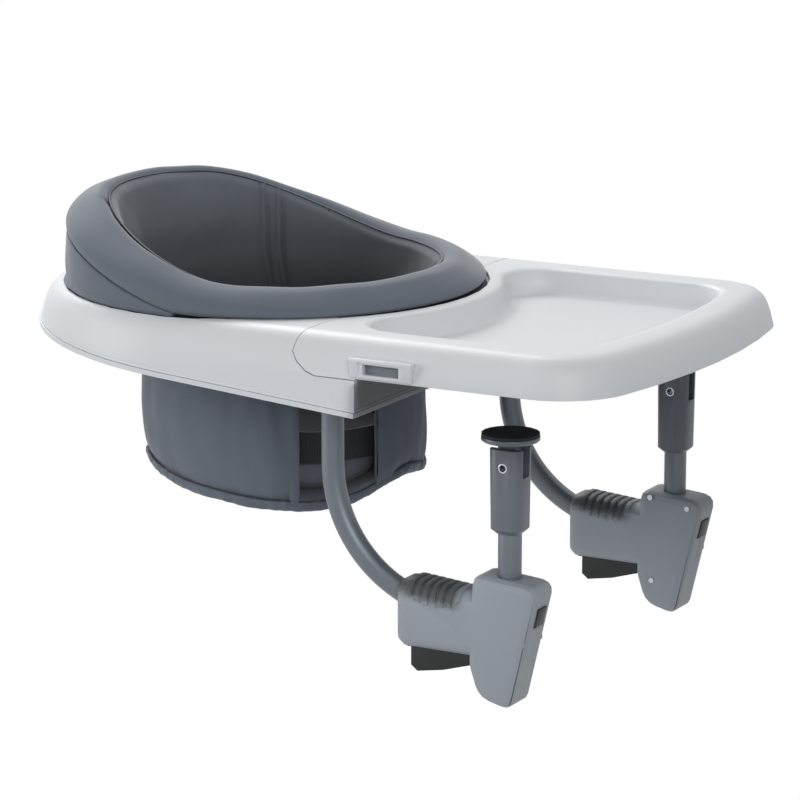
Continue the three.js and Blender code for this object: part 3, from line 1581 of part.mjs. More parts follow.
function addHousing() {
  addPart("ring_housing", makeHousing(), paleShell);
  addPart("under_cover", makeUnderCover(), paleShell);
  const padWidth = frontRestHalfWidth - padMargin;
  const padFrom = housingFrontX + padMargin;
  const frontPad = box(padFrom, frontRestReach - padMargin, -padWidth, padWidth, 0, padThickness);
  addPart("table_pad_front", frontPad, rubber);
  for (const [name, side] of [["right", -1], ["left", 1]]) {
    const inner = sideRestInner + padMargin;
    const outer = sideRibOuter - padMargin;
    const [low, high] = sortedSides(side, inner, outer);
    const from = frontRestReach + padMargin;
    const pad = box(from, sideRestEnd - padMargin, low, high, 0, padThickness);
    addPart(`table_pad_${name}`, pad, rubber);
    addPart(`pivot_bush_${name}`, makeBush(side * armY), innerPlastic);
  }
  addPart("turn_lock", makeTurnLock(), innerPlastic);
}

function addTray() {
  addPart("tray", makeTray(), paleShell);
  for (const [name, side] of [["right", -1], ["left", 1]]) {
    addPart(`latch_bezel_${name}`, makeLatchBezel(side), paleLatch);
    addPart(`latch_plate_${name}`, makeLatchPlate(side), ribbedGrey);
  }
}

function addSeat() {
  addPart("turning_ring", makeTurningRing(), innerPlastic);
  addPart("rim_pad", makeRimPad(), darkFabric);
  addPart("back_bolster", makeBolster(), darkFabric);
  addPart("seat_liner", makeLiner(), linerFabric);
  addPart("seat_wrap", makeFabricWall(legTo, Math.PI * 2 - legTo, wrapSteps), darkFabric);
  addPart("crotch_panel", makeFabricWall(-legFrom, legFrom, panelSteps), darkFabric);
  addPart("seat_base", makeSeatBase(), darkFabric);
  addPart("seat_cushion", makeCushion(), cushionFabric);
  addPart("lap_strap_right", makeLapStrap(-1), blackWebbing);
  addPart("lap_strap_left", makeLapStrap(1), blackWebbing);
  addPart("crotch_strap", makeCrotchStrap(), blackWebbing);
  addPart("harness_buckle", makeBuckle(), blackPlastic);
}

function addArm(name, side) {
  const place = [0, side * armY, 0];
  const add = (part, solid, finish) => addPart(`${part}_${name}`, solid.translate(place), finish);
  const casing = makeCasing(side);
  add("arm_tube", makeArm(), greyPaint);
  add("arm_retainer", makeRetainer(), innerPlastic);
  add("clamp_outer_shell", halfOf(casing, side), greyPlastic);
  add("clamp_inner_shell", halfOf(casing, -side), greyPlastic);
  for (const screw of Object.keys(screwPlaces)) {
    add(`clamp_screw_${screw}`, makeScrew(side, screw), steel);
  }
  add("clamp_trigger", makeTrigger(), blackPlastic);
  add("drive_plate", makeGripPlate(drivePlateLeftX, drivePlateTopZ), steel);
  add("drive_spring", makeSpring(), steel);
  add("lock_plate", makeGripPlate(lockPlateLeftX, lockPlateTopZ), steel);
  add("release_button", makeButton(), blackPlastic);
  add("clamp_post", makePost(), greyPaint);
  add("post_sleeve", makeSleeve(), greyPlastic);
  add("foot_pin", makeFootPin(), steel);
  add("foot_plate", makeFootPlate(), greyPaint);
  add("foot_pad", makeFootPad(), rubber);
}

addHousing();
addTray();
addSeat();
addArm("right", -1);
addArm("left", 1);

export default group;
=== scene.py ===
"""The looks of the hook-on chair, built around its packed construction.

Places and sizes are in metres in the construction's own frame: X runs forwards from the child's
back, Y to the child's left, Z up, and Z = 0 is the height at which the chair's pads rest. MM turns
a size in millimetres into metres.
"""

import math
from contextlib import contextmanager

import bpy
import numpy as np
from mathutils import Matrix, Vector, noise


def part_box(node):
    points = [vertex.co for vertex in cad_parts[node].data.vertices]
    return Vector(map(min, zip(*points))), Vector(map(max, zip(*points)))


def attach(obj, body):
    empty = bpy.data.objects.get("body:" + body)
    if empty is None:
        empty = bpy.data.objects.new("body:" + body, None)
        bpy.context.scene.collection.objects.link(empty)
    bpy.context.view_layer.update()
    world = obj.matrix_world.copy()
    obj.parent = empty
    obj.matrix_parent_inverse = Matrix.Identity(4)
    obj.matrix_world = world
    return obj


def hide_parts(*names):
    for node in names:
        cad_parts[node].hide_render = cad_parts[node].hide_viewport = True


bl_info = {
    "name": "Table chair",
    "version": (1, 0, 0),
    "blender": (4, 5, 0),
    "location": "3D View > Sidebar > Table chair",
    "description": "Models and finishes a baby seat that hooks on a table",
    "category": "Object",
}

MM = 0.001
SIDES = {"right": -1, "left": 1}
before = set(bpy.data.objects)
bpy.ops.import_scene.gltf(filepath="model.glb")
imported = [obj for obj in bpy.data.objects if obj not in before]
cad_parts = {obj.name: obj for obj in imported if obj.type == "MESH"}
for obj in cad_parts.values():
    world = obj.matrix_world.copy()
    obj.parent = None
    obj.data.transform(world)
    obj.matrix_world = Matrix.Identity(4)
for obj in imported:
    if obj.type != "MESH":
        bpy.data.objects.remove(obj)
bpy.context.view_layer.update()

# Places that the construction fixes
RING_X = -192 * MM
RIM_OUTER = 176 * MM
RIM_WIDTH = 38 * MM
RIM_TALL = 31.5 * MM
RIM_LOW = 28.6 * MM
RIM_FRONT_Z = 50 * MM
RIM_RISE = 55 * MM
RISE_FROM = math.radians(70)
RISE_OVER = math.radians(83)
BUCKET_RADIUS = 118.6 * MM
BUCKET_SHIFT = 7 * MM
BUCKET_TOP = -5.3 * MM
SEAT_MID_Z = -130.7 * MM
SEAT_TILT = 0.117
CROTCH_RISE = 23.2 * MM
CROTCH_SPREAD = math.radians(29)
LEG_FROM = math.radians(20.2)
LEG_TO = math.radians(54)
HEM_HEIGHT = 10 * MM
ARM_X = -51 * MM
ARM_Y = 152.3 * MM
GRIP_TOP = -159 * MM

# Swell of the rim's padding in millimetres, each at an angle from the front in degrees
RIM_SWELL = ((0, 2.5), (45, 1.6), (90, 3.2), (150, 0.9), (166, 3.0), (180, 3.2))

# Soft pieces
BOLSTER_RADIUS = 173.6 * MM
BOLSTER_LOW = 29.2 * MM
BOLSTER_FROM = math.radians(88)
WELT_DROP = 4.6 * MM
LINING_RADIUS = 134.8 * MM
LINING_EDGE_DROP = 3.6 * MM
LINING_BOTTOM = -9 * MM
LINING_LOW = -14 * MM
LINING_HIGH = 40 * MM
SEAM_ANGLES = (math.radians(120), math.radians(125.5))
FOLD_ANGLE = math.radians(29)
WALL_LAP = 5.3 * MM
EDGE_HEM_LAP = 4.8 * MM
CUSHION_RADIUS = 105.5 * MM
CUSHION_TALL = 29 * MM
CUSHION_LIFT = 10.8 * MM

# Points of a mesh that are nearer than this are merged
MERGE_DISTANCE = 0.01 * MM

# The stage, with each lamp's name, place, size and power
CAMERA_PLACE = Vector((1351.3, -2596.3, 613.5)) * MM
CAMERA_TARGET = Vector((-74.47, 0, -61.02)) * MM
CAMERA_LENS = 166.0
SENSOR_WIDTH = 36
LAMP_TARGET = (-0.1, 0, -0.05)
LAMPS = (
    ("key", (-1.8, 1.2, 1.8), 1.5, 52),
    ("left", (-2.4, -1.6, 0.4), 1.5, 29),
    ("front", (1.8, -2.2, 1.2), 1.6, 37),
    ("top", (0.1, 1.3, 2.3), 2.0, 10),
)
FLOOR_SIZE = 30
FLOOR_Z = -0.72
BOARD_MIDDLE = (0.292, 0.05, -0.0185)
BOARD_SIZE = (0.6, 0.5, 0.033)


def smooth_step(value, low, high):
    """0 below low, 1 above high, and a smooth rise between them."""
    share = min(1.0, max(0.0, (value - low) / (high - low)))
    return share * share * (3 - 2 * share)


def bell(offset, width):
    """1 at no offset, falling smoothly to 0 past about twice the width."""
    return math.exp(-((offset / width) ** 2))


def spread(first, last, steps):
    """Values in even steps from a first to a last one."""
    return [first + (last - first) * step / steps for step in range(steps + 1)]


def from_front(angle):
    """How far an angle round the seat is from the front, from 0 to pi."""
    return abs(math.atan2(math.sin(angle), math.cos(angle)))


def turned_share(angle, start, end):
    """0 up to start degrees from the front, 1 past end degrees, and a smooth rise between."""
    return smooth_step(from_front(angle), math.radians(start), math.radians(end))


def back_share(angle):
    """1 behind the child's back and 0 beside and before the child."""
    return turned_share(angle, 120, 165)


def rim_top(angle):
    """Height of the padded rim's top, whose padding swells a little more at some places."""
    swell = RIM_SWELL[0][1]
    for (start, first), (end, last) in zip(RIM_SWELL, RIM_SWELL[1:]):
        swell += (last - first) * turned_share(angle, start, end)
    rise = RIM_RISE * smooth_step(from_front(angle), RISE_FROM, RISE_FROM + RISE_OVER)
    return RIM_FRONT_Z + rise + swell * MM


def rim_bottom(angle):
    """Height of the padded rim's lower seam, which rises out of the housing beside the child."""
    return max(RIM_LOW, rim_top(angle) - RIM_TALL - 3 * MM * turned_share(angle, 115, 152))


def rim_edges(angle):
    """Inner and outer radius of the padded rim, drawn in at the front and at the back."""
    front_share = 1 - turned_share(angle, 20, 60)
    inner = RIM_OUTER - RIM_WIDTH - 1.6 * MM * back_share(angle)
    outer = RIM_OUTER - 4 * MM * front_share - 4.1 * MM * back_share(angle)
    return inner, outer


def rim_lean(angle):
    """How far the padded rim's top leans outwards, most of all behind."""
    return math.radians(11 + 10.5 * turned_share(angle, 85, 150))


def crotch_lift(angle):
    """How far the bucket's lower edge is drawn up between the legs, and in its left opening."""
    turn = (angle + math.pi) % math.tau - math.pi
    slack = 6 * MM * bell(turn - math.radians(36), math.radians(13))
    return CROTCH_RISE * bell(from_front(angle), CROTCH_SPREAD) + slack


def seat_level(radius, angle):
    """Height of the tilted seat board's lower face."""
    return SEAT_MID_Z - SEAT_TILT * radius * math.cos(angle)


def hem_height(angle):
    """Height of the bucket's lower edge at an angle round the seat."""
    return seat_level(BUCKET_RADIUS, angle) + crotch_lift(angle)


def hem_tuck(angle):
    """How far the bucket's lower edge is drawn in behind the seat."""
    return 3.4 * MM * turned_share(angle, 75, 140)


def hem_wave(place):
    """How far the bucket's hem band rises and falls at a place."""
    return ripple(place, 26 * MM, 4.0) * 0.9 * MM


def on_ring(radius, angle, height, shift=0.0):
    """A place by its radius, angle and height about the seat's turning axis."""
    return (RING_X + shift + radius * math.cos(angle), radius * math.sin(angle), height)


def ripple(place, size, seed):
    """A smooth random number from -1 to 1 that varies over lengths of about size."""
    return noise.noise(Vector(place) / size + Vector((seed, seed * 1.7, -seed)))


# Shader expressions


class Wire:
    """A shader socket with the arithmetic of a number."""

    def __init__(self, tree, socket):
        self.tree = tree
        self.socket = socket

    def _maths(self, operation, first, second=None):
        """The outcome of one step of arithmetic."""
        node = self.tree.nodes.new("ShaderNodeMath")
        node.operation = operation
        for slot, value in zip(node.inputs, (first, second)):
            feed(self.tree, slot, value)
        return Wire(self.tree, node.outputs[0])

    def __add__(self, other):
        return self._maths("ADD", self, other)

    def __radd__(self, other):
        return self._maths("ADD", other, self)

    def __sub__(self, other):
        return self._maths("SUBTRACT", self, other)

    def __rsub__(self, other):
        return self._maths("SUBTRACT", other, self)

    def __mul__(self, other):
        return self._maths("MULTIPLY", self, other)

    def __rmul__(self, other):
        return self._maths("MULTIPLY", other, self)

    def sine(self):
        """Its sine."""
        return self._maths("SINE", self)

    def larger(self, other):
        """The larger one of it and another."""
        return self._maths("MAXIMUM", self, other)

    def between(self, low, high):
        """0 below low, 1 above high, smooth in the middle."""
        node = self.tree.nodes.new("ShaderNodeMapRange")
        node.interpolation_type = "SMOOTHSTEP"
        feed(self.tree, node.inputs["Value"], self)
        node.inputs["From Min"].default_value = low
        node.inputs["From Max"].default_value = high
        return Wire(self.tree, node.outputs["Result"])


def feed(tree, slot, value):
    """Sets a socket to a number or colour, or links a wire to it."""
    if value is None:
        return
    if isinstance(value, Wire):
        tree.links.new(value.socket, slot)
    else:
        slot.default_value = value


class Finish:
    """A material in the making, with its tree, its shader and the place on the surface."""

    def __init__(self, name, **fixed):
        self.material = bpy.data.materials.new(name)
        self.material.use_nodes = True
        self.tree = self.material.node_tree
        self.shader = self.tree.nodes["Principled BSDF"]
        self.set(**fixed)
        self.place = self.node("ShaderNodeTexCoord", output="Object")
        self.relief = None

    def node(self, kind, output=0, **sockets):
        """Adds a node, sets or links its sockets and gives one of its outputs."""
        made = self.tree.nodes.new(kind)
        for name, value in sockets.items():
            feed(self.tree, made.inputs[name.replace("_", " ")], value)
        return Wire(self.tree, made.outputs[output])

    def cloud(self, size, detail, roughness=0.5):
        """Noise from 0 to 1 with lumps of about a size in metres."""
        return self.node(
            "ShaderNodeTexNoise", output="Fac", Vector=self.place, Scale=1 / size, Detail=detail,
            Roughness=roughness,
        )

    def along(self, axis, place=None):
        """The place's X, Y or Z in metres."""
        return self.node("ShaderNodeSeparateXYZ", output=axis, Vector=place or self.place)

    def vector(self, operation, first, second, output="Vector"):
        """One step of arithmetic with places, directions or colours."""
        made = self.tree.nodes.new("ShaderNodeVectorMath")
        made.operation = operation
        for slot, value in zip(made.inputs, (first, second)):
            feed(self.tree, slot, value)
        return Wire(self.tree, made.outputs[output])

    def mix(self, share, first, second):
        """A colour between two by a share."""
        made = self.tree.nodes.new("ShaderNodeMix")
        made.data_type = "RGBA"
        feed(self.tree, made.inputs["Factor"], share)
        for slot, value in ((made.inputs[6], first), (made.inputs[7], second)):
            feed(self.tree, slot, value)
        return Wire(self.tree, made.outputs[2])

    def set(self, **sockets):
        """Sets or links the shader's own sockets."""
        for name, value in sockets.items():
            feed(self.tree, self.shader.inputs[name.replace("_", " ")], value)

    def colour_so_far(self):
        """The colour that is linked to the shader."""
        return Wire(self.tree, self.shader.inputs["Base Color"].links[0].from_socket)

    def bump(self, height, depth, strength=1.0):
        """Raises the surface by a height from 0 to 1 times a depth in metres."""
        self.relief = self.node(
            "ShaderNodeBump", Strength=strength, Distance=depth, Height=height, Normal=self.relief
        )
        self.set(Normal=self.relief)


def shade(colour, factor):
    """A colour made lighter or darker by a factor."""
    return tuple(min(1.0, part * factor) for part in colour[:3]) + (1.0,)


def srgb(red, green, blue):
    """A colour given by its three parts from 0 to 255, as the shader takes it."""
    def linear(part):
        part /= 255
        return part / 12.92 if part <= 0.04045 else ((part + 0.055) / 1.055) ** 2.4

    return tuple(linear(part) for part in (red, green, blue)) + (1.0,)


# Near-black colour of painted shade, for the bucket's inner face and the cushion's top.
PAINTED_SHADE_CLOTH = srgb(30, 33, 37)


def moulded_plastic(name, colour, roughness, grain, grain_depth, clouding=0.03):
    """Injection-moulded plastic: faint clouding, a fine grain and scuffs in its gloss."""
    finish = Finish(name, Specular_IOR_Level=0.4)
    cloud = finish.cloud(60 * MM, 3.0)
    scuff = finish.cloud(9 * MM, 4.0, 0.6)
    finish.set(
        Base_Color=finish.mix(cloud, shade(colour, 1 - clouding), shade(colour, 1 + clouding)),
        Roughness=roughness - 0.05 + scuff * 0.1,
    )
    finish.bump(finish.cloud(grain, 2.0), grain_depth)
    return finish


def lipped_plastic(name, colour, roughness, grain, grain_depth):
    """Moulded plastic with a raised lip along the housing's sloping lower edge, whose band is painted
    a little lighter as a painted highlight.
    """
    finish = moulded_plastic(name, colour, roughness, grain, grain_depth, 0.012)
    slope = 0.0775
    lower_edge = -31.8 * MM
    above_edge = finish.along("Z") + finish.along("X") * slope - lower_edge
    lip_share = above_edge.between(6.4 * MM, 7.0 * MM)
    finish.bump(1 - lip_share, 0.3 * MM)
    # Painted highlight: the raised lip band is made 5 % lighter than the wall above it.
    finish.set(Base_Color=finish.mix(lip_share, shade(colour, 1.05), finish.colour_so_far()))
    return finish


def shaded_grip_plastic(name, colour, roughness, grain, grain_depth):
    """The clamps' plastic, with a dark patch of painted shade over the top of the grip's ribs."""
    finish = moulded_plastic(name, colour, roughness, grain, grain_depth, 0.02)
    along = finish.along("X")
    ragged = (finish.cloud(3 * MM, 2.0) - 0.5) * 6 * MM
    height = finish.along("Z") + along * 0.1 + ragged
    shaded_top_share = height.between(GRIP_TOP - 16 * MM, GRIP_TOP - 6 * MM)
    start_share = along.between(11 * MM, 15 * MM)
    end_share = along.between(60 * MM, 76 * MM)
    # Painted shade: the top of the grip's ribs, which faces upwards, is made much darker than its
    # sides.
    painted_shade_share = shaded_top_share * start_share * (1 - end_share)
    finish.set(Base_Color=finish.mix(painted_shade_share, finish.colour_so_far(), shade(colour, 0.2)))
    return finish


def woven_fabric(name, colour, thread, depth, sheen):
    """Plain-woven cloth: crossing threads, a heathered tone and a soft sheen."""
    finish = Finish(name, Sheen_Weight=sheen, Sheen_Roughness=0.4, Specular_IOR_Level=0.25)
    turn = math.tau / thread
    across = (finish.along("X") * turn).sine() + (finish.along("Y") * turn).sine()
    weave = across * (finish.along("Z") * turn).sine() * 0.25 + 0.5
    heather = finish.cloud(2.2 * MM, 4.0, 0.7)
    cloud = finish.cloud(70 * MM, 2.0)
    tone_share = heather * 0.6 + cloud * 0.4
    finish.set(
        Base_Color=finish.mix(tone_share, shade(colour, 0.9), shade(colour, 1.1)),
        Roughness=0.72 + heather * 0.16,
    )
    finish.bump(weave, depth)
    finish.bump(finish.cloud(14 * MM, 3.0), depth * 3, 0.5)
    return finish


def shaded_lining_fabric(name, colour, thread, depth):
    """The lining's cloth, painted darker low down in the seat as painted shade."""
    finish = woven_fabric(name, colour, thread, depth, 0.3)
    height_share = finish.along("Z").between(-10 * MM, 92 * MM)
    # Painted shade: the colour falls from 1.17 times itself high up to a fifth of it at the bottom.
    painted_shade = height_share * 0.97 + 0.2
    finish.set(Base_Color=finish.vector("MULTIPLY", finish.colour_so_far(), painted_shade))
    return finish


def inside_shaded_fabric(name, colour, thread, depth):
    """The bucket's cloth, painted near black on its inner face as painted shade."""
    finish = woven_fabric(name, colour, thread, depth, 0.35)
    offset = finish.vector("SUBTRACT", finish.place, (RING_X + BUCKET_SHIFT, 0, 0))
    outwards = finish.vector("MULTIPLY", offset, (1, 1, 0))
    facing = finish.node("ShaderNodeTexCoord", output="Normal")
    side = finish.vector("DOT_PRODUCT", outwards, facing, "Value")
    outside_share = side.between(-4 * MM, 4 * MM)
    # Painted shade: the faces that look into the seat take the near-black colour.
    finish.set(Base_Color=finish.mix(outside_share, PAINTED_SHADE_CLOTH, finish.colour_so_far()))
    return finish


def top_shaded_fabric(name, colour, thread, depth):
    """The cushion's cloth, whose top is painted near black as painted shade."""
    finish = woven_fabric(name, colour, thread, depth, 0.18)
    facing = finish.node("ShaderNodeTexCoord", output="Normal")
    shaded_top_share = finish.along("Z", facing).between(0.45, 0.8)
    # Painted shade: the upward faces take the near-black colour, the sides keep the lighter grey.
    finish.set(Base_Color=finish.mix(shaded_top_share, finish.colour_so_far(), PAINTED_SHADE_CLOTH))
    return finish


def striped_webbing(name, colour, rib, depth):
    """Narrow webbing whose ribs run across it, by the piece's own UV map."""
    finish = Finish(name, Sheen_Weight=0.2, Roughness=0.7, Specular_IOR_Level=0.3)
    place = finish.node("ShaderNodeUVMap", output="UV")
    rib_share = (finish.along("X", place) * (math.tau / rib)).sine() * 0.5 + 0.5
    finish.set(Base_Color=finish.mix(rib_share, shade(colour, 0.7), shade(colour, 1.3)))
    finish.bump(rib_share, depth)
    return finish


def coated_metal(name, colour, metallic, roughness, peel, depth):
    """Painted or plated metal with a faint orange peel and rubbed patches."""
    finish = Finish(name, Metallic=metallic, Specular_IOR_Level=0.5)
    rub = finish.cloud(12 * MM, 4.0, 0.6)
    finish.set(
        Base_Color=finish.mix(rub, shade(colour, 0.94), shade(colour, 1.06)),
        Roughness=roughness - 0.06 + rub * 0.12,
    )
    finish.bump(finish.cloud(peel, 1.0), depth)
    return finish


# Modelling helpers


def clear_selection():
    """Leaves edit mode and deselects everything."""
    if bpy.context.object and bpy.context.object.mode != "OBJECT":
        bpy.ops.object.mode_set(mode="OBJECT")
    bpy.ops.object.select_all(action="DESELECT")


def take(piece):
    """Selects one piece alone and makes it the active one."""
    clear_selection()
    piece.select_set(True)
    bpy.context.view_layer.objects.active = piece


@contextmanager
def editing(piece):
    """Keeps one piece in edit mode for a while, with all of it selected at first."""
    take(piece)
    bpy.ops.object.mode_set(mode="EDIT")
    bpy.ops.mesh.select_all(action="SELECT")
    yield
    bpy.ops.object.mode_set(mode="OBJECT")


def apply_modifier(piece, kind, **settings):
    """Adds a modifier with its settings and applies it."""
    take(piece)
    bpy.ops.object.modifier_add(type=kind)
    modifier = piece.modifiers[-1]
    for name, value in settings.items():
        setattr(modifier, name, value)
    bpy.ops.object.modifier_apply(modifier=modifier.name)


def merge_points(piece):
    """Merges points that lie on each other and turns the faces outwards."""
    with editing(piece):
        bpy.ops.mesh.remove_doubles(threshold=MERGE_DISTANCE)
        bpy.ops.mesh.normals_make_consistent(inside=False)
    return piece


def smooth(piece, angle):
    """Shades a piece smooth, but for edges sharper than an angle in degrees."""
    take(piece)
    bpy.ops.object.shade_smooth_by_angle(angle=math.radians(angle))
    return piece


def named(piece, name):
    """Gives a piece and its mesh a name."""
    piece.name = name
    piece.data.name = name
    return piece


def finish_piece(piece, body, slot, material, *replaced):
    """Gives a finished piece its material and body, and hides the nodes that it stands for. The slot
    is not used.
    """
    piece.data.materials.clear()
    piece.data.materials.append(material)
    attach(piece, body)
    if replaced:
        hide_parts(*replaced)


def point_places(mesh):
    """The places of a mesh's points, a row for each."""
    flat = np.zeros(len(mesh.vertices) * 3)
    mesh.vertices.foreach_get("co", flat)
    return flat.reshape(-1, 3)


def move_points(mesh, places):
    """Puts a mesh's points at new places."""
    mesh.vertices.foreach_set("co", places.ravel())
    mesh.update()


def lay_out_map(mesh, rows, up, across):
    """Fills the UV map with lengths in metres along and across the rows."""
    steps_u = np.linalg.norm(np.diff(rows, axis=1), axis=2).mean(axis=0)
    steps_v = np.linalg.norm(np.diff(rows, axis=0), axis=2).mean(axis=1)
    reach_u = np.concatenate([[0], np.cumsum(steps_u)])
    reach_v = np.concatenate([[0], np.cumsum(steps_v)])
    corners = np.zeros(len(mesh.loops), int)
    mesh.loops.foreach_get("vertex_index", corners)
    places = np.stack([reach_v[up[corners]], reach_u[across[corners]]], axis=1)
    mesh.uv_layers[0].data.foreach_set("uv", places.ravel())


def skin(name, rows, runs_round=False, closed_rows=True, caps=False):
    """A grid drawn over rows of places. closed_rows joins each row's ends, runs_round joins the
    first and the last row, and caps closes both ends."""
    rows = np.array([[tuple(place) for place in row] for row in rows], float)
    if closed_rows:
        rows = np.concatenate([rows, rows[:, :1]], axis=1)
    if runs_round:
        rows = np.concatenate([rows, rows[:1]], axis=0)
    count_v, count_u = rows.shape[:2]
    clear_selection()
    bpy.ops.mesh.primitive_grid_add(x_subdivisions=count_u - 1, y_subdivisions=count_v - 1, size=2)
    piece = named(bpy.context.object, name)
    flat = point_places(piece.data)
    across = np.rint((flat[:, 0] + 1) / 2 * (count_u - 1)).astype(int)
    up = np.rint((flat[:, 1] + 1) / 2 * (count_v - 1)).astype(int)
    lay_out_map(piece.data, rows, up, across)
    move_points(piece.data, rows[up, across])
    if caps:
        with editing(piece):
            bpy.ops.mesh.remove_doubles(threshold=MERGE_DISTANCE)
            bpy.ops.mesh.select_all(action="DESELECT")
            bpy.ops.mesh.select_non_manifold()
            bpy.ops.mesh.fill_holes(sides=0)
    return merge_points(piece)


def sweep(name, section, start, end, steps, runs_round=False, caps=False):
    """A ring or a sector whose section of radii and heights depends on the angle."""
    angles = spread(start, end, steps)
    if runs_round:
        angles.pop()
    rows = [
        [on_ring(radius, angle, height) for radius, height in section(angle)] for angle in angles
    ]
    return skin(name, rows, runs_round=runs_round, caps=caps)


def tube(name, path, radius, sides, caps=True):
    """A round cord or tube along a path of places."""
    points = [Vector(place) for place in path]
    side = None
    rows = []
    for i, point in enumerate(points):
        ahead = points[min(i + 1, len(points) - 1)] - points[max(i - 1, 0)]
        ahead.normalize()
        if side is None:
            side = ahead.orthogonal().normalized()
        side = (side - ahead * side.dot(ahead)).normalized()
        other = ahead.cross(side)
        rows.append([
            point + side * (radius * math.cos(turn)) + other * (radius * math.sin(turn))
            for turn in spread(0, math.tau, sides)[:-1]
        ])
    return smooth(skin(name, rows, caps=caps), 60)


def round_section(half_wide, half_high, points, squareness):
    """Offsets of a flattened round section from its middle."""
    section = []
    for turn in spread(0, math.tau, points)[:-1]:
        across, up = math.cos(turn), math.sin(turn)
        section.append((
            half_wide * math.copysign(abs(across) ** (2 / squareness), across),
            half_high * math.copysign(abs(up) ** (2 / squareness), up),
        ))
    return section


def copy_of(node, name):
    """A merged copy of a construction node as a new piece."""
    piece = bpy.data.objects.new(name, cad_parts[node].data.copy())
    bpy.context.scene.collection.objects.link(piece)
    piece.data.name = name
    with editing(piece):
        bpy.ops.mesh.remove_doubles(threshold=MERGE_DISTANCE)
        bpy.ops.mesh.dissolve_limited(angle_limit=math.radians(0.6))
    return piece


def part_at_split(mesh, split_y):
    """Draws the points on a split plane a little off it, and finds the edges away from it."""
    near = 0.3 * MM
    gap = 0.03 * MM
    ends = np.zeros(len(mesh.edges) * 2, int)
    mesh.edges.foreach_get("vertices", ends)
    places = point_places(mesh)
    off = places[:, 1] - split_y
    meets = np.abs(off) < near
    places[meets, 1] = split_y + np.sign(off[meets]) * gap
    move_points(mesh, places)
    return np.abs(off)[ends.reshape(-1, 2)].max(axis=1) > near


def eased_copy(node, name, width, angle=38, segments=2, split_y=None):
    """A merged copy of a node with its sharp edges eased, but not those on a split plane."""
    piece = copy_of(node, name)
    with editing(piece):
        bpy.ops.mesh.select_mode(type="EDGE")
        bpy.ops.mesh.select_all(action="DESELECT")
        bpy.ops.mesh.edges_select_sharp(sharpness=math.radians(angle))
    mesh = piece.data
    chosen = np.zeros(len(mesh.edges), bool)
    mesh.edges.foreach_get("select", chosen)
    if split_y is not None:
        chosen &= part_at_split(mesh, split_y)
    weights = mesh.attributes.new("bevel_weight_edge", "FLOAT", "EDGE")
    weights.data.foreach_set("value", chosen.astype(float))
    apply_modifier(
        piece, "BEVEL", width=width, segments=segments, limit_method="WEIGHT",
        harden_normals=False, use_clamp_overlap=True,
    )
    return smooth(piece, 30)


def puffed(piece, pressure, cap):
    """Lets a pad swell as cloth over its filling, with no point moved further than cap."""
    frames = 20
    apply_modifier(piece, "REMESH", mode="VOXEL", voxel_size=5 * MM, use_smooth_shade=True)
    before = point_places(piece.data)
    take(piece)
    bpy.ops.object.modifier_add(type="CLOTH")
    cloth = piece.modifiers[-1]
    cloth.settings.use_pressure = True
    cloth.settings.uniform_pressure_force = pressure
    cloth.settings.tension_stiffness = 15
    cloth.settings.compression_stiffness = 5
    cloth.settings.bending_stiffness = 0.4
    cloth.settings.effector_weights.gravity = 0
    cloth.point_cache.frame_start = 1
    cloth.point_cache.frame_end = frames
    for step in range(1, frames + 1):
        bpy.context.scene.frame_set(step)
    bpy.ops.object.modifier_apply(modifier=cloth.name)
    bpy.context.scene.frame_set(1)
    moved = point_places(piece.data) - before
    reach = np.linalg.norm(moved, axis=1, keepdims=True)
    moved *= np.minimum(1.0, cap / np.maximum(reach, 1e-9))
    move_points(piece.data, before + moved)
    apply_modifier(piece, "SUBSURF", levels=1, render_levels=1)


# Settings


def length_property(name, description, default):
    """A size that a user can change."""
    return bpy.props.FloatProperty(
        name=name, description=description, default=default, unit="LENGTH", min=0.0
    )


def colour_property(name, description, default):
    """A colour that a user can change."""
    return bpy.props.FloatVectorProperty(
        name=name, description=description, default=default, subtype="COLOR", size=4,
        min=0.0, max=1.0,
    )


class ChairSizes(bpy.types.PropertyGroup):
    """Sizes of the soft pieces and the trim."""

    welt: length_property("Welt", "Radius of the piping along a seam", 1.3 * MM)
    lining: length_property("Lining", "Thickness of the padded lining", 3.4 * MM)
    cloth: length_property("Cloth", "Thickness of the bucket's cloth", 1.4 * MM)
    strap: length_property("Strap", "Width of the harness straps", 25 * MM)
    tube: length_property("Arm tube", "Radius of the arm tubes", 9 * MM)
    edge: length_property("Eased edge", "Rounding of moulded edges", 0.6 * MM)


class ChairColours(bpy.types.PropertyGroup):
    """Colours of the finishes."""

    shell: colour_property("Shell", "Pale moulded housing and tray", srgb(216, 219, 223))
    cover: colour_property("Outer cloth", "Rim, bolster and bucket", srgb(103, 110, 120))
    lining: colour_property("Lining", "Cloth inside the seat", srgb(104, 110, 117))
    clamp: colour_property("Clamps", "Grey moulded clamp shells", srgb(154, 161, 168))
    paint: colour_property("Paint", "Painted tubes and posts", srgb(108, 115, 122))
    black: colour_property("Black", "Levers, buttons and the buckle", srgb(15, 17, 19))


# Materials


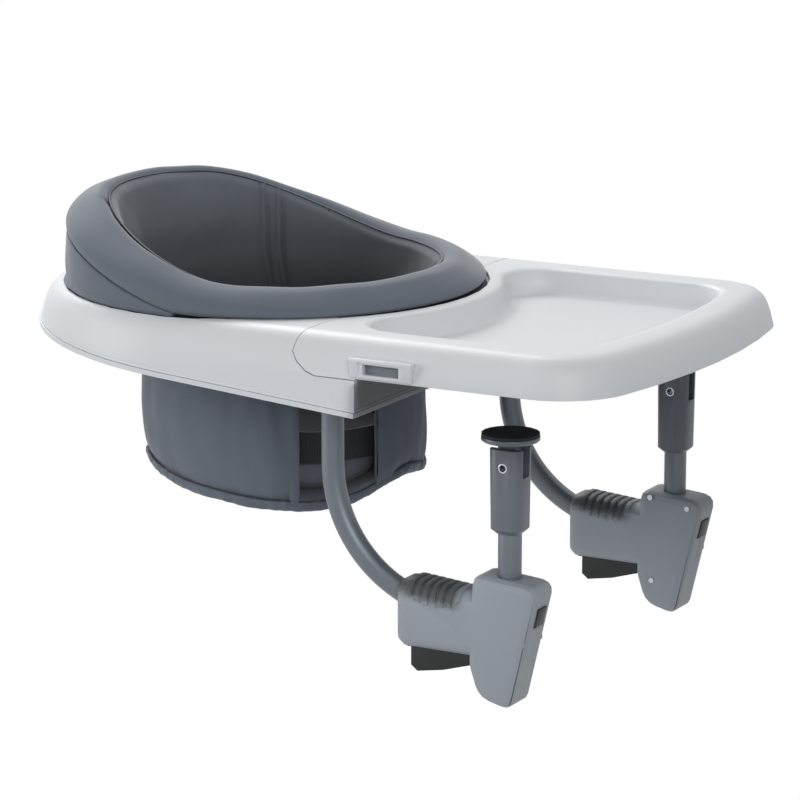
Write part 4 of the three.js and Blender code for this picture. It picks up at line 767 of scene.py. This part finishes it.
def make_materials(colours):
    """All finishes by name."""
    pale = colours.shell
    cloth = colours.cover
    finishes = {
        "shell": moulded_plastic("pale_shell", pale, 0.42, 0.5 * MM, 0.012 * MM, 0.012),
        "housing": lipped_plastic("housing_shell", pale, 0.42, 0.5 * MM, 0.012 * MM),
        "latch": moulded_plastic("latch_frame", shade(pale, 1.02), 0.36, 0.6 * MM, 0.01 * MM, 0.01),
        # The latch plates' mid grey is painted shade for the shade inside their windows.
        "latch_plate": moulded_plastic("latch_grey", srgb(130, 136, 143), 0.5, 0.5 * MM, 0.02 * MM),
        "cover": woven_fabric("outer_fabric", cloth, 0.9 * MM, 0.05 * MM, 0.35),
        "bucket": inside_shaded_fabric("bucket_cloth", cloth, 0.9 * MM, 0.05 * MM),
        "lining": shaded_lining_fabric("lining", colours.lining, 0.8 * MM, 0.05 * MM),
        "cushion": top_shaded_fabric("cushion", srgb(112, 118, 126), 0.8 * MM, 0.05 * MM),
        "welt": woven_fabric("welt", shade(cloth, 0.3), 0.7 * MM, 0.04 * MM, 0.1),
        "webbing": striped_webbing("webbing", srgb(34, 37, 41), 2.0 * MM, 0.25 * MM),
        "black": moulded_plastic("black_plastic", colours.black, 0.48, 0.45 * MM, 0.03 * MM, 0.08),
        # The clamps' plastic carries painted shade on the top of each grip.
        "clamp": shaded_grip_plastic("clamp_plastic", colours.clamp, 0.5, 0.45 * MM, 0.02 * MM),
        "sleeve": moulded_plastic(
            "sleeve_plastic", srgb(106, 112, 120), 0.42, 0.45 * MM, 0.02 * MM, 0.02
        ),
        "paint": coated_metal("grey_paint", colours.paint, 0.25, 0.38, 1.6 * MM, 0.02 * MM),
        "steel": coated_metal("bright_steel", srgb(186, 190, 194), 0.95, 0.3, 1.2 * MM, 0.01 * MM),
        "rubber": moulded_plastic("grip_rubber", srgb(52, 55, 60), 0.8, 0.8 * MM, 0.05 * MM, 0.06),
        "inner": moulded_plastic("inner_plastic", srgb(56, 60, 66), 0.55, 0.6 * MM, 0.03 * MM),
    }
    return {name: finish.material for name, finish in finishes.items()}


_made = {}


def materials():
    """The finishes, made when they are first asked for."""
    if not _made:
        _made.update(make_materials(bpy.context.scene.chair_colours))
    return _made


# Operators


def aim(place, target):
    """The turn of a camera or a lamp that stands at a place and faces a target."""
    return (Vector(target) - Vector(place)).to_track_quat("-Z", "Y").to_euler()


def seen_share(tree):
    """1 for light seen by the camera, straight or in a gloss, and 0 for all other light."""
    path = tree.nodes.new("ShaderNodeLightPath")
    straight = Wire(tree, path.outputs["Is Camera Ray"])
    return straight.larger(Wire(tree, path.outputs["Is Glossy Ray"]))


class CHAIR_OT_camera(bpy.types.Operator):
    """Places the camera where the part is looked at from"""

    bl_idname = "chair.camera"
    bl_label = "Add camera"

    def execute(self, context):
        clear_selection()
        turn = aim(CAMERA_PLACE, CAMERA_TARGET)
        bpy.ops.object.camera_add(location=CAMERA_PLACE, rotation=turn)
        camera = context.object
        camera.data.lens = CAMERA_LENS
        camera.data.sensor_width = SENSOR_WIDTH
        camera.data.clip_start = 0.05
        camera.data.clip_end = 50
        context.scene.camera = camera
        return {"FINISHED"}


class CHAIR_OT_stage(bpy.types.Operator):
    """Adds the pale floor, the soft lamps and the white surroundings"""

    bl_idname = "chair.stage"
    bl_label = "Add stage"

    def execute(self, context):
        self.floor()
        self.surroundings(context.scene)
        self.lamps()
        self.shade_board()
        return {"FINISHED"}

    def floor(self):
        """A pale floor that looks white itself."""
        clear_selection()
        bpy.ops.mesh.primitive_plane_add(size=FLOOR_SIZE, location=(0, 0, 0))
        floor = named(bpy.context.object, "floor")
        floor.data.transform(Matrix.Translation((0, 0, FLOOR_Z)))
        finish = Finish("floor_white", Roughness=0.9, Base_Color=srgb(190, 191, 193))
        tree = finish.tree
        lit = Wire(tree, finish.shader.outputs[0])
        glow = finish.node("ShaderNodeEmission", Strength=1.0)
        mixed = tree.nodes.new("ShaderNodeMixShader")
        for slot, value in zip(mixed.inputs, (seen_share(tree), lit, glow)):
            feed(tree, slot, value)
        tree.links.new(mixed.outputs[0], tree.nodes["Material Output"].inputs[0])
        floor.data.materials.append(finish.material)

    def surroundings(self, scene):
        """White surroundings that give less light than they show."""
        unseen_level = 0.26
        world = bpy.data.worlds.new("studio")
        scene.world = world
        world.use_nodes = True
        tree = world.node_tree
        sky = tree.nodes["Background"]
        level = seen_share(tree) * (1 - unseen_level) + unseen_level
        feed(tree, sky.inputs["Strength"], level)
        sky.inputs["Color"].default_value = (1, 1, 1, 1)

    def lamps(self):
        """The soft square lamps."""
        for name, place, size, power in LAMPS:
            clear_selection()
            turn = aim(place, LAMP_TARGET)
            bpy.ops.object.light_add(type="AREA", location=place, rotation=turn)
            lamp = bpy.context.object
            lamp.name = name
            lamp.data.size = size
            lamp.data.energy = power

    def shade_board(self):
        """An unseen grey board under the tray, which shades the pieces below it."""
        clear_selection()
        bpy.ops.mesh.primitive_cube_add(size=1)
        board = named(bpy.context.object, "shade_board")
        board.data.transform(
            Matrix.Translation(BOARD_MIDDLE) @ Matrix.Diagonal((*BOARD_SIZE, 1))
        )
        board.visible_camera = False
        board.visible_glossy = False
        finish = Finish("shade_board_grey", Roughness=0.8, Base_Color=srgb(150, 154, 160))
        board.data.materials.append(finish.material)


class CHAIR_OT_shells(bpy.types.Operator):
    """Models the moulded housing, its cover and the tray"""

    bl_idname = "chair.shells"
    bl_label = "Mould housing and tray"

    def execute(self, context):
        edge = context.scene.chair_sizes.edge
        for node, name, body, width, finish in (
            ("ring_housing", "housing_shell", "housing", edge * 0.6, "housing"),
            ("under_cover", "housing_cover", "housing", edge * 0.3, "shell"),
            ("tray", "tray_shell", "tray", edge * 0.6, "shell"),
        ):
            piece = eased_copy(node, name, width, angle=45)
            apply_modifier(piece, "WEIGHTED_NORMAL", keep_sharp=True)
            finish_piece(piece, body, "pale_shell", materials()[finish], node)
        return {"FINISHED"}


class CHAIR_OT_latches(bpy.types.Operator):
    """Models the latch frames and their ribbed plates in the tray's sides"""

    bl_idname = "chair.latches"
    bl_label = "Model latches"

    def execute(self, context):
        for side in SIDES:
            frame_piece = eased_copy(f"latch_bezel_{side}", f"latch_hood_{side}", 0.5 * MM)
            finish_piece(
                frame_piece, "tray", "latch_frame", materials()["latch"], f"latch_bezel_{side}"
            )
            plate = eased_copy(f"latch_plate_{side}", f"latch_press_{side}", 0.25 * MM)
            finish_piece(
                plate, f"tray_latch_{side}", "latch_grey", materials()["latch_plate"],
                f"latch_plate_{side}",
            )
        return {"FINISHED"}


class CHAIR_OT_rim(bpy.types.Operator):
    """Pads the rim round the seat, with a narrow welt in its inner seam"""

    bl_idname = "chair.rim"
    bl_label = "Pad the rim"

    def execute(self, context):
        outline = [
            min(pair, boxy, key=lambda spot: spot[0]) if pair[1] > 0 and pair[0] < 0 else pair
            for pair, boxy in zip(round_section(1, 1, 48, 2.25), round_section(1, 1, 48, 3.2))
        ]

        def section(angle):
            top = rim_top(angle)
            half_high = (top - rim_bottom(angle)) / 2
            inner, outer = rim_edges(angle)
            middle = (outer + inner) / 2
            half_wide = (outer - inner) / 2
            front_share = 1 - turned_share(angle, 40, 100)
            slack = 1.1 * MM * ripple(on_ring(middle, angle, 0), 48 * MM, 3.0)
            pucker = 0.5 * MM * ripple(on_ring(middle, angle, 0), 8 * MM, 8.0)
            fold = 2.6 * MM * bell(angle - math.radians(218), math.radians(1.6))
            slope = math.tan(rim_lean(angle)) * half_wide
            spots = []
            for across, up in outline:
                seam_share = bell(up + 0.62, 0.2) * across ** 2
                pull = (pucker - 0.7 * MM) * seam_share
                dent = fold * max(0.0, -across) ** 2 * (up > -0.6)
                full = -8 * MM * up * max(0.0, across) * front_share
                sink = max(0.0, across + 0.5) * slope * (0.5 + 0.5 * up)
                loose = slack * (1 - across ** 4) * (up > 0)
                spots.append((
                    middle + across * half_wide + math.copysign(pull, across) + dent + full,
                    top - half_high + up * half_high + loose - sink,
                ))
            return spots

        rim = smooth(sweep("rim_cushion", section, 0, math.tau, 300, runs_round=True), 80)
        finish_piece(rim, "seat", "outer_fabric", materials()["cover"], "rim_pad")
        loop = [
            on_ring(rim_edges(angle)[0] + 0.1 * MM, angle, rim_top(angle) - WELT_DROP)
            for angle in spread(0, math.tau, 240)
        ]
        radius = context.scene.chair_sizes.welt * 0.7
        welt = tube("rim_welt", loop, radius, sides=10, caps=False)
        finish_piece(welt, "seat", "outer_fabric", materials()["welt"])
        return {"FINISHED"}


class CHAIR_OT_bolster(bpy.types.Operator):
    """Pads the outer wall of the backrest under the rim"""

    bl_idname = "chair.bolster"
    bl_label = "Pad the backrest"

    def execute(self, context):
        inner = RIM_OUTER - RIM_WIDTH + 1 * MM
        height_shares = (0, 0.035, 0.06, 0.085, 0.11, 0.14) + tuple(i / 20 for i in range(4, 21))

        def section(angle):
            outer = BOLSTER_RADIUS - 1.1 * MM * back_share(angle)
            high = max(rim_bottom(angle) + 3 * MM, BOLSTER_LOW + 0.3 * MM)
            tall_share = min(1.0, (high - BOLSTER_LOW) / (20 * MM))
            spots = [(inner, BOLSTER_LOW)]
            for share in height_shares:
                height = BOLSTER_LOW + share * (high - BOLSTER_LOW)
                place = on_ring(outer, angle, height)
                crown_share = math.sin(math.pi * share) ** 0.6 * tall_share
                crease = ripple(place, 30 * MM, 5.0) * 0.8 * MM * crown_share
                ends_share = ((1 - share) ** 4 + share ** 6) * tall_share
                tuck = ripple(place, 6 * MM, 2.0) * 0.6 * MM * ends_share
                fold_offset = (angle - math.radians(203)) / math.radians(1.7) + share * 7 - 1.2
                fold = -2.4 * MM * bell(fold_offset, 1) * (1 - smooth_step(share, 0.2, 0.5))
                lap = 2.8 * MM * bell(height - BOLSTER_LOW - 3.6 * MM, 1.6 * MM) * tall_share
                spots.append((outer + 1.5 * MM * crown_share + crease + tuck + fold + lap, height))
            spots.append((inner, high))
            return spots

        end = math.tau - BOLSTER_FROM
        bolster = smooth(sweep("back_cushion", section, BOLSTER_FROM, end, 300, caps=True), 70)
        finish_piece(bolster, "seat", "outer_fabric", materials()["cover"], "back_bolster")
        return {"FINISHED"}


def pull_share(angle):
    """1 at the lining's upright seams and 0 a little way off, with a weaker pull at its fold."""
    away = from_front(angle)
    nearest = min(abs(away - seam) for seam in SEAM_ANGLES)
    fold_share = 0.7 * bell(away - FOLD_ANGLE, math.radians(3.5))
    return max(fold_share, bell(nearest, math.radians(2.2)))


def lining_radius(height):
    """Radius of the lining's inner face before it is padded."""
    share = smooth_step(height, LINING_LOW, LINING_HIGH)
    return (BUCKET_RADIUS - 2.9 * MM) * (1 - share) + LINING_RADIUS * share


def lining_shift(height):
    """How far the lining's middle lies ahead of the ring's."""
    return BUCKET_SHIFT * (1 - smooth_step(height, LINING_LOW, LINING_HIGH))


def lining_edge(angle):
    """Height of the lining's upper edge, a little under the rim's top."""
    return rim_top(angle) - LINING_EDGE_DROP


def lining_face(angle, height):
    """Radius of the lining's padded inner face."""
    edge = lining_edge(angle)
    share = (height - LINING_BOTTOM) / (edge - LINING_BOTTOM)
    place = on_ring(LINING_RADIUS - 0.8 * MM, angle, height)
    soft = 2.2 * MM * ripple(place, 48 * MM, 1.0) + 0.7 * MM * ripple(place, 17 * MM, 4.0)
    belly_share = math.sin(math.pi * min(1.0, max(0.0, share) * 0.97 + 0.015))
    behind = 7.5 * MM * turned_share(angle, 127, 162) * belly_share
    puff = (4.2 * MM * belly_share ** 0.4 + behind + soft) * (1 - pull_share(angle))
    shoulder_share = smooth_step(edge - height, 0, 6 * MM)
    turned_over = 4 * MM * (1 - shoulder_share)
    draw = 1.6 * MM * back_share(angle) * smooth_step(height, 20 * MM, 60 * MM)
    return lining_radius(height) - puff * shoulder_share + turned_over - draw


class CHAIR_OT_lining(bpy.types.Operator):
    """Lines the inside of the seat, with flat-felled seams up its sides"""

    bl_idname = "chair.lining"
    bl_label = "Line the seat"

    def execute(self, context):
        depth = context.scene.chair_sizes.lining - 0.9 * MM
        rows = []
        for angle in spread(0, math.tau, 320)[:-1]:
            heights = spread(LINING_BOTTOM, lining_edge(angle), 40)
            front = [
                on_ring(lining_face(angle, height), angle, height, lining_shift(height))
                for height in heights
            ]
            back = [
                on_ring(lining_radius(height) + depth, angle, height, lining_shift(height))
                for height in reversed(heights)
            ]
            rows.append(front + back)
        lining = smooth(skin("seat_lining", rows, runs_round=True), 60)
        finish_piece(lining, "seat", "lining", materials()["lining"], "seat_liner")
        for side, sign in SIDES.items():
            for count, seam in enumerate(SEAM_ANGLES):
                self.seam(f"{side}_{count + 1}", sign * seam, count * 3.0)
        return {"FINISHED"}

    def seam(self, ending, angle, seed):
        """A flat-felled seam up the lining, with the thread beside it."""
        rows = []
        path = []
        for height in spread(LINING_BOTTOM + 1 * MM, rim_top(angle) - 5 * MM, 48):
            radius = lining_face(angle, height)
            shift = lining_shift(height)
            wave = 0.5 * MM * ripple((0, 0, height), 14 * MM, seed)
            rows.append([
                on_ring(radius - 0.2 * MM + across, angle + (along + wave) / radius, height, shift)
                for across, along in round_section(1.3 * MM, 2.3 * MM, 14, 2.4)
            ])
            beside = angle + (2.9 * MM + wave) / radius
            path.append(on_ring(radius - 0.4 * MM, beside, height, shift))
        band = smooth(skin(f"lining_seam_{ending}", rows, caps=True), 60)
        finish_piece(band, "seat", "lining", materials()["lining"])
        thread = tube(f"lining_thread_{ending}", path, 0.6 * MM, sides=8)
        finish_piece(thread, "seat", "lining", materials()["welt"])


def bucket_wall(name, start, end, steps, thickness, seed, slack_share):
    """A cloth wall of the bucket that hangs from the ring, with soft folds near its ends."""
    def place(angle, share):
        low = hem_height(angle) + HEM_HEIGHT - WALL_LAP
        height = low + share * (BUCKET_TOP - low)
        edge = min(abs(angle - start), abs(end - angle))
        near_share = bell(edge, math.radians(11)) * slack_share
        spot = on_ring(BUCKET_RADIUS, angle, height)
        tall = Vector((spot[0], spot[1], spot[2] * 0.35))
        fold = ripple(tall, 10 * MM, seed) * near_share * 3.2 * MM * smooth_step(share, 0.1, 0.8)
        soft = ripple(spot, 36 * MM, seed + 3) * 2.8 * MM + ripple(tall, 15 * MM, seed) * 1.1 * MM
        gather_share = bell(height - low, 7 * MM)
        draw = (ripple(tall, 5.5 * MM, seed + 7) * 0.8 * MM - 2.6 * MM) * gather_share
        belly = 1.3 * MM * math.sin(math.pi * (1 - share) ** 1.4)
        tuck = hem_tuck(angle) * bell(height - low, 15 * MM)
        radius = BUCKET_RADIUS - 0.5 * MM + fold + soft * 0.8 + draw + belly - tuck
        return on_ring(radius, angle, height, BUCKET_SHIFT)

    rows = [
        [place(angle, share) for share in spread(0, 1, 56)] for angle in spread(start, end, steps)
    ]
    wall = skin(name, rows, closed_rows=False)
    apply_modifier(wall, "SOLIDIFY", thickness=thickness, offset=-1.0)
    return merge_points(smooth(wall, 60))


def flat_cut(start, end):
    """Width and height of a bucket wall's cloth before it is sewn."""
    turned_in = 5.8 * MM
    heights = [BUCKET_TOP - hem_height(angle) for angle in spread(start, end, 40)]
    return (end - start) * BUCKET_RADIUS, sum(heights) / len(heights) - HEM_HEIGHT + turned_in


class CHAIR_OT_bucket(bpy.types.Operator):
    """Hangs the cloth bucket under the ring, with its hems"""

    bl_idname = "chair.bucket"
    bl_label = "Hang the bucket"

    def execute(self, context):
        cloth = context.scene.chair_sizes.cloth
        end = math.tau - LEG_TO
        wrap = bucket_wall("bucket_wrap", LEG_TO, end, 420, cloth, 1.0, 1.0)
        finish_piece(wrap, "seat", "outer_fabric", materials()["bucket"], "seat_wrap")
        flat_cut(LEG_TO, end)
        panel = bucket_wall("bucket_front", -LEG_FROM, LEG_FROM, 80, cloth, 6.0, 0.3)
        finish_piece(panel, "seat", "outer_fabric", materials()["bucket"], "crotch_panel")
        flat_cut(-LEG_FROM, LEG_FROM)
        self.edge_hems()
        self.base()
        self.stitch()
        return {"FINISHED"}

    def edge_hems(self):
        """Turned hems up the edges of the leg openings."""
        for name, angle, inward in (
            ("leg_hem_right_rear", -LEG_TO, -1), ("leg_hem_right_front", -LEG_FROM, 1),
            ("leg_hem_left_front", LEG_FROM, -1), ("leg_hem_left_rear", LEG_TO, 1),
        ):
            low = hem_height(angle) + HEM_HEIGHT - EDGE_HEM_LAP
            middle = angle + inward * 3.4 * MM / BUCKET_RADIUS
            rows = []
            for height in spread(low, BUCKET_TOP - 1 * MM, 36):
                wave = ripple(on_ring(BUCKET_RADIUS, angle, height), 15 * MM, 2.0) * 0.8 * MM
                radius = BUCKET_RADIUS - 1.4 * MM + wave
                rows.append([
                    on_ring(radius + across, middle + along / BUCKET_RADIUS, height, BUCKET_SHIFT)
                    for across, along in round_section(1.5 * MM, 4.2 * MM, 14, 3)
                ])
            hem = smooth(skin(name, rows, caps=True), 60)
            finish_piece(hem, "seat", "outer_fabric", materials()["cover"])

    def base(self):
        """The cloth-covered seat board with the puckered hem band round it."""
        sag = 2.8 * MM

        def level(radius, above, lift_share):
            spots = []
            for angle in spread(0, math.tau, 420)[:-1]:
                height = seat_level(radius, angle) + above
                place = on_ring(radius, angle, height * 0.3)
                pucker = ripple(place, 6 * MM, 9.0) * 1.7 * MM + ripple(place, 22 * MM, 4.0) * 1.2 * MM
                outwards = pucker - hem_tuck(angle)
                upwards = crotch_lift(angle) + hem_wave(place) - sag
                spots.append(on_ring(
                    radius + outwards * lift_share, angle, height + upwards * lift_share,
                    BUCKET_SHIFT,
                ))
            return spots

        top = 9.9 * MM
        middle = 2 * MM
        halfway = 45 * MM
        shoulder = BUCKET_RADIUS * 0.82
        # Each place of the band: millimetres in from the outside and up, and its share of the lift
        band = (
            (9, 1.6, 0.8), (5.6, 0.5, 1), (3.2, 0.9, 1), (1.3, 2.2, 1), (0.1, 3.9, 1),
            (-0.5, 5.6, 1), (-0.7, 7.4, 1), (-0.4, 8.9, 1), (0.7, 9.8, 1), (3, 9.9, 1),
            (6, 9.9, 0.86),
        )
        rows = [
            level(middle, 2.4 * MM, 0), level(halfway, 2.2 * MM, 0.06),
            level(shoulder, 2.6 * MM, 0.58),
        ]
        rows += [level(BUCKET_RADIUS - inset * MM, up * MM, share) for inset, up, share in band]
        rows += [level(shoulder, top, 0.55), level(halfway, top, 0.06), level(middle, top, 0)]
        base = smooth(skin("bucket_base", rows, caps=True), 60)
        finish_piece(base, "seat", "outer_fabric", materials()["cover"], "seat_base")

    def stitch(self):
        """The seam of thread round the hem band."""
        loop = []
        for angle in spread(0, math.tau, 360):
            low = hem_height(angle)
            place = on_ring(BUCKET_RADIUS, angle, low)
            outwards = ripple(place, 9 * MM, 1.0) * 0.6 * MM - hem_tuck(angle) - 0.7 * MM
            height = low + hem_wave(place) + 7.2 * MM
            loop.append(on_ring(BUCKET_RADIUS + outwards, angle, height, BUCKET_SHIFT))
        stitch = tube("hem_stitch", loop, 0.7 * MM, sides=8, caps=False)
        finish_piece(stitch, "seat", "outer_fabric", materials()["welt"])


class CHAIR_OT_cushion(bpy.types.Operator):
    """Pads the thick seat cushion"""

    bl_idname = "chair.cushion"
    bl_label = "Pad the cushion"

    def execute(self, context):
        reach_shares = (
            0.02, 0.35, 0.65, 0.84, 0.93, 0.98, 1, 1, 0.985, 0.95, 0.88, 0.76, 0.6, 0.4, 0.2, 0.02,
        )
        height_shares = (
            0, 0, 0, 0.01, 0.05, 0.16, 0.36, 0.56, 0.75, 0.88, 0.96, 1.02, 1.07, 1.1, 1.11, 1.12,
        )
        rows = []
        for share, height_share in zip(reach_shares, height_shares):
            reach = CUSHION_RADIUS * share
            row = []
            for angle in spread(0, math.tau, 144)[:-1]:
                low = seat_level(reach, angle) + CUSHION_LIFT
                low += crotch_lift(angle) * (reach / BUCKET_RADIUS) ** 3
                place = on_ring(reach, angle, low + CUSHION_TALL * height_share, BUCKET_SHIFT)
                gap_share = math.exp(-((math.sin(angle) * reach / (19 * MM)) ** 4))
                ahead = math.cos(angle) > 0
                notch = 11 * MM * gap_share * ahead * smooth_step(share, 0.7, 1)
                row.append((place[0] - notch, place[1], place[2]))
            rows.append(row)
        cushion = smooth(skin("seat_cushion_pad", rows, caps=True), 70)
        puffed(cushion, 2.0, 4 * MM)
        finish_piece(cushion, "seat", "lining", materials()["cushion"], "seat_cushion")
        return {"FINISHED"}


class CHAIR_OT_harness(bpy.types.Operator):
    """Adds the lap straps, the crotch strap and the buckle"""

    bl_idname = "chair.harness"
    bl_label = "Add the harness"

    def execute(self, context):
        for side, sign in SIDES.items():
            self.lap_strap(side, sign, context.scene.chair_sizes.strap)
        self.crotch_strap()
        buckle = eased_copy("harness_buckle", "harness_clip", 1.6 * MM, segments=4)
        finish_piece(buckle, "seat", "black_plastic", materials()["black"], "harness_buckle")
        return {"FINISHED"}

    def lap_strap(self, side, sign, width):
        """A strap along the bucket's wall, which leaves it towards the buckle."""
        thick = 1.8 * MM
        wall = BUCKET_RADIUS - 3.3 * MM
        rows = []
        for share in spread(0, 1, 60):
            angle = sign * (math.radians(104) - share * math.radians(92))
            reach = wall - 6 * MM * smooth_step(share, 0, 0.4)
            low = seat_level(wall, angle) + HEM_HEIGHT + 32.5 * MM - 8 * MM * (1 - share)
            lean = 1.5 * MM * math.sin(share * 11 + 1)
            rows.append([
                on_ring(reach - across + lean * up_share, angle, low + width * up_share, BUCKET_SHIFT)
                for across, up_share in (
                    (0, 0), (0, 0.5), (0, 1), (thick, 1), (thick, 0.5), (thick, 0),
                )
            ])
        strap = smooth(skin(f"harness_lap_{side}", rows, caps=True), 40)
        finish_piece(strap, "seat", "webbing", materials()["webbing"], f"lap_strap_{side}")

    def crotch_strap(self):
        """The upright strap between the legs, bowed a little towards the back."""
        thick = 1.9 * MM
        low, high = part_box("crotch_strap")
        foot = low.z + crotch_lift(0) * 0.64
        rows = []
        for share in spread(0, 1, 24):
            height = foot + (high.z - foot) * share
            back = low.x - 1.5 * MM * math.sin(math.pi * share)
            rows.append([
                (back, low.y, height), (back, high.y, height),
                (back + thick, high.y, height), (back + thick, low.y, height),
            ])
        strap = smooth(skin("harness_crotch", rows, caps=True), 40)
        finish_piece(strap, "seat", "webbing", materials()["webbing"], "crotch_strap")


def arm_path(y):
    """Middle line of an arm: straight down and then forwards, with a short straight stretch
    inside the bend."""
    top = 14.3 * MM
    low = -78.3 * MM
    bend = 105 * MM
    last_turn = math.radians(83.5)
    stretch_turn = math.radians(63)
    stretch = 9.8 * MM
    path = [(ARM_X, y, height) for height in spread(top, low, 8)]
    for turn in spread(0, last_turn, 44)[1:]:
        past = stretch if turn > stretch_turn else 0
        forwards = bend * (1 - math.cos(turn)) + past * math.sin(stretch_turn)
        downwards = bend * math.sin(turn) + past * math.cos(stretch_turn)
        path.append((ARM_X + forwards, y, low - downwards))
    return path


class CHAIR_OT_arms(bpy.types.Operator):
    """Bends the two arm tubes and adds their collars"""

    bl_idname = "chair.arms"
    bl_label = "Bend the arms"

    def execute(self, context):
        collar_low = -33.8 * MM
        collar_high = collar_low + 3 * MM
        radius = context.scene.chair_sizes.tube
        paint = materials()["paint"]
        for side, sign in SIDES.items():
            y = sign * ARM_Y
            arm = tube(f"arm_bend_{side}", arm_path(y), radius, sides=36)
            finish_piece(arm, f"arm_{side}", "grey_paint", paint, f"arm_tube_{side}")
            ends = [(ARM_X, y, collar_low), (ARM_X, y, collar_high)]
            collar = tube(f"arm_collar_{side}", ends, 14.6 * MM, sides=40)
            apply_modifier(
                collar, "BEVEL", width=0.8 * MM, segments=3, limit_method="ANGLE",
                angle_limit=math.radians(50),
            )
            finish_piece(smooth(collar, 40), f"arm_{side}", "grey_paint", paint)
        return {"FINISHED"}


class CHAIR_OT_clamps(bpy.types.Operator):
    """Models the clamp shells, levers, buttons, posts, sleeves and feet"""

    bl_idname = "chair.clamps"
    bl_label = "Model the clamps"

    def execute(self, context):
        made = materials()
        rows = (
            ("clamp_outer_shell", "clamp_cheek_outer", "arm", "clamp_plastic", "clamp", 0.5),
            ("clamp_inner_shell", "clamp_cheek_inner", "arm", "clamp_plastic", "clamp", 0.5),
            ("clamp_trigger", "squeeze_lever", "trigger", "black_plastic", "black", 1.2),
            ("release_button", "release_pad", "release_button", "black_plastic", "black", 0.8),
            ("clamp_post", "post_bar", "post", "grey_paint", "paint", 0.8),
            ("post_sleeve", "post_collar", "post", "clamp_plastic", "sleeve", 0.8),
            ("foot_pin", "foot_axle", "post", "bright_steel", "steel", 0.4),
            ("foot_plate", "foot_disc", "foot", "grey_paint", "paint", 0.5),
            ("foot_pad", "foot_rubber", "foot", "grip_rubber", "rubber", 0.5),
        )
        for side in SIDES:
            for node, name, body, slot, finish, edge in rows:
                split = SIDES[side] * ARM_Y if node.endswith("shell") else None
                piece = eased_copy(f"{node}_{side}", f"{name}_{side}", edge * MM, split_y=split)
                finish_piece(piece, f"{body}_{side}", slot, made[finish], f"{node}_{side}")
        return {"FINISHED"}


class CHAIR_OT_fittings(bpy.types.Operator):
    """Finishes the construction's own small pieces"""

    bl_idname = "chair.fittings"
    bl_label = "Finish the fittings"

    def execute(self, context):
        made = materials()
        for name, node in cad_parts.items():
            if node.hide_render:
                continue
            if name.startswith(("clamp_screw", "drive_", "lock_plate")):
                finish = made["steel"]
            elif name.startswith("table_pad"):
                finish = made["rubber"]
            else:
                finish = made["inner"]
            node.data.materials.clear()
            node.data.materials.append(finish)
        return {"FINISHED"}


class CHAIR_PT_panel(bpy.types.Panel):
    """Lists the sizes, colours and steps of the chair"""

    bl_idname = "CHAIR_PT_panel"
    bl_label = "Table chair"
    bl_space_type = "VIEW_3D"
    bl_region_type = "UI"
    bl_category = "Table chair"

    def draw(self, context):
        layout = self.layout
        for group in (context.scene.chair_sizes, context.scene.chair_colours):
            for name in group.__annotations__:
                layout.prop(group, name)
        for step in STEPS:
            layout.operator(step.bl_idname)


STEPS = (
    CHAIR_OT_camera, CHAIR_OT_stage, CHAIR_OT_shells, CHAIR_OT_latches, CHAIR_OT_rim,
    CHAIR_OT_bolster, CHAIR_OT_lining, CHAIR_OT_bucket, CHAIR_OT_cushion, CHAIR_OT_harness,
    CHAIR_OT_arms, CHAIR_OT_clamps, CHAIR_OT_fittings,
)
CLASSES = (ChairSizes, ChairColours) + STEPS + (CHAIR_PT_panel,)


def register():
    """Makes the classes and the scene's settings known."""
    for part in CLASSES:
        bpy.utils.register_class(part)
    bpy.types.Scene.chair_sizes = bpy.props.PointerProperty(type=ChairSizes)
    bpy.types.Scene.chair_colours = bpy.props.PointerProperty(type=ChairColours)


def unregister():
    """Takes the settings and the classes away again."""
    del bpy.types.Scene.chair_colours
    del bpy.types.Scene.chair_sizes
    for part in reversed(CLASSES):
        bpy.utils.unregister_class(part)


def main():
    """Runs every step in order."""
    register()
    bpy.context.scene.view_settings.view_transform = "Standard"
    for step in STEPS:
        area, operation = step.bl_idname.split(".")
        getattr(getattr(bpy.ops, area), operation)()
    clear_selection()


if __name__ == "__main__":
    main()
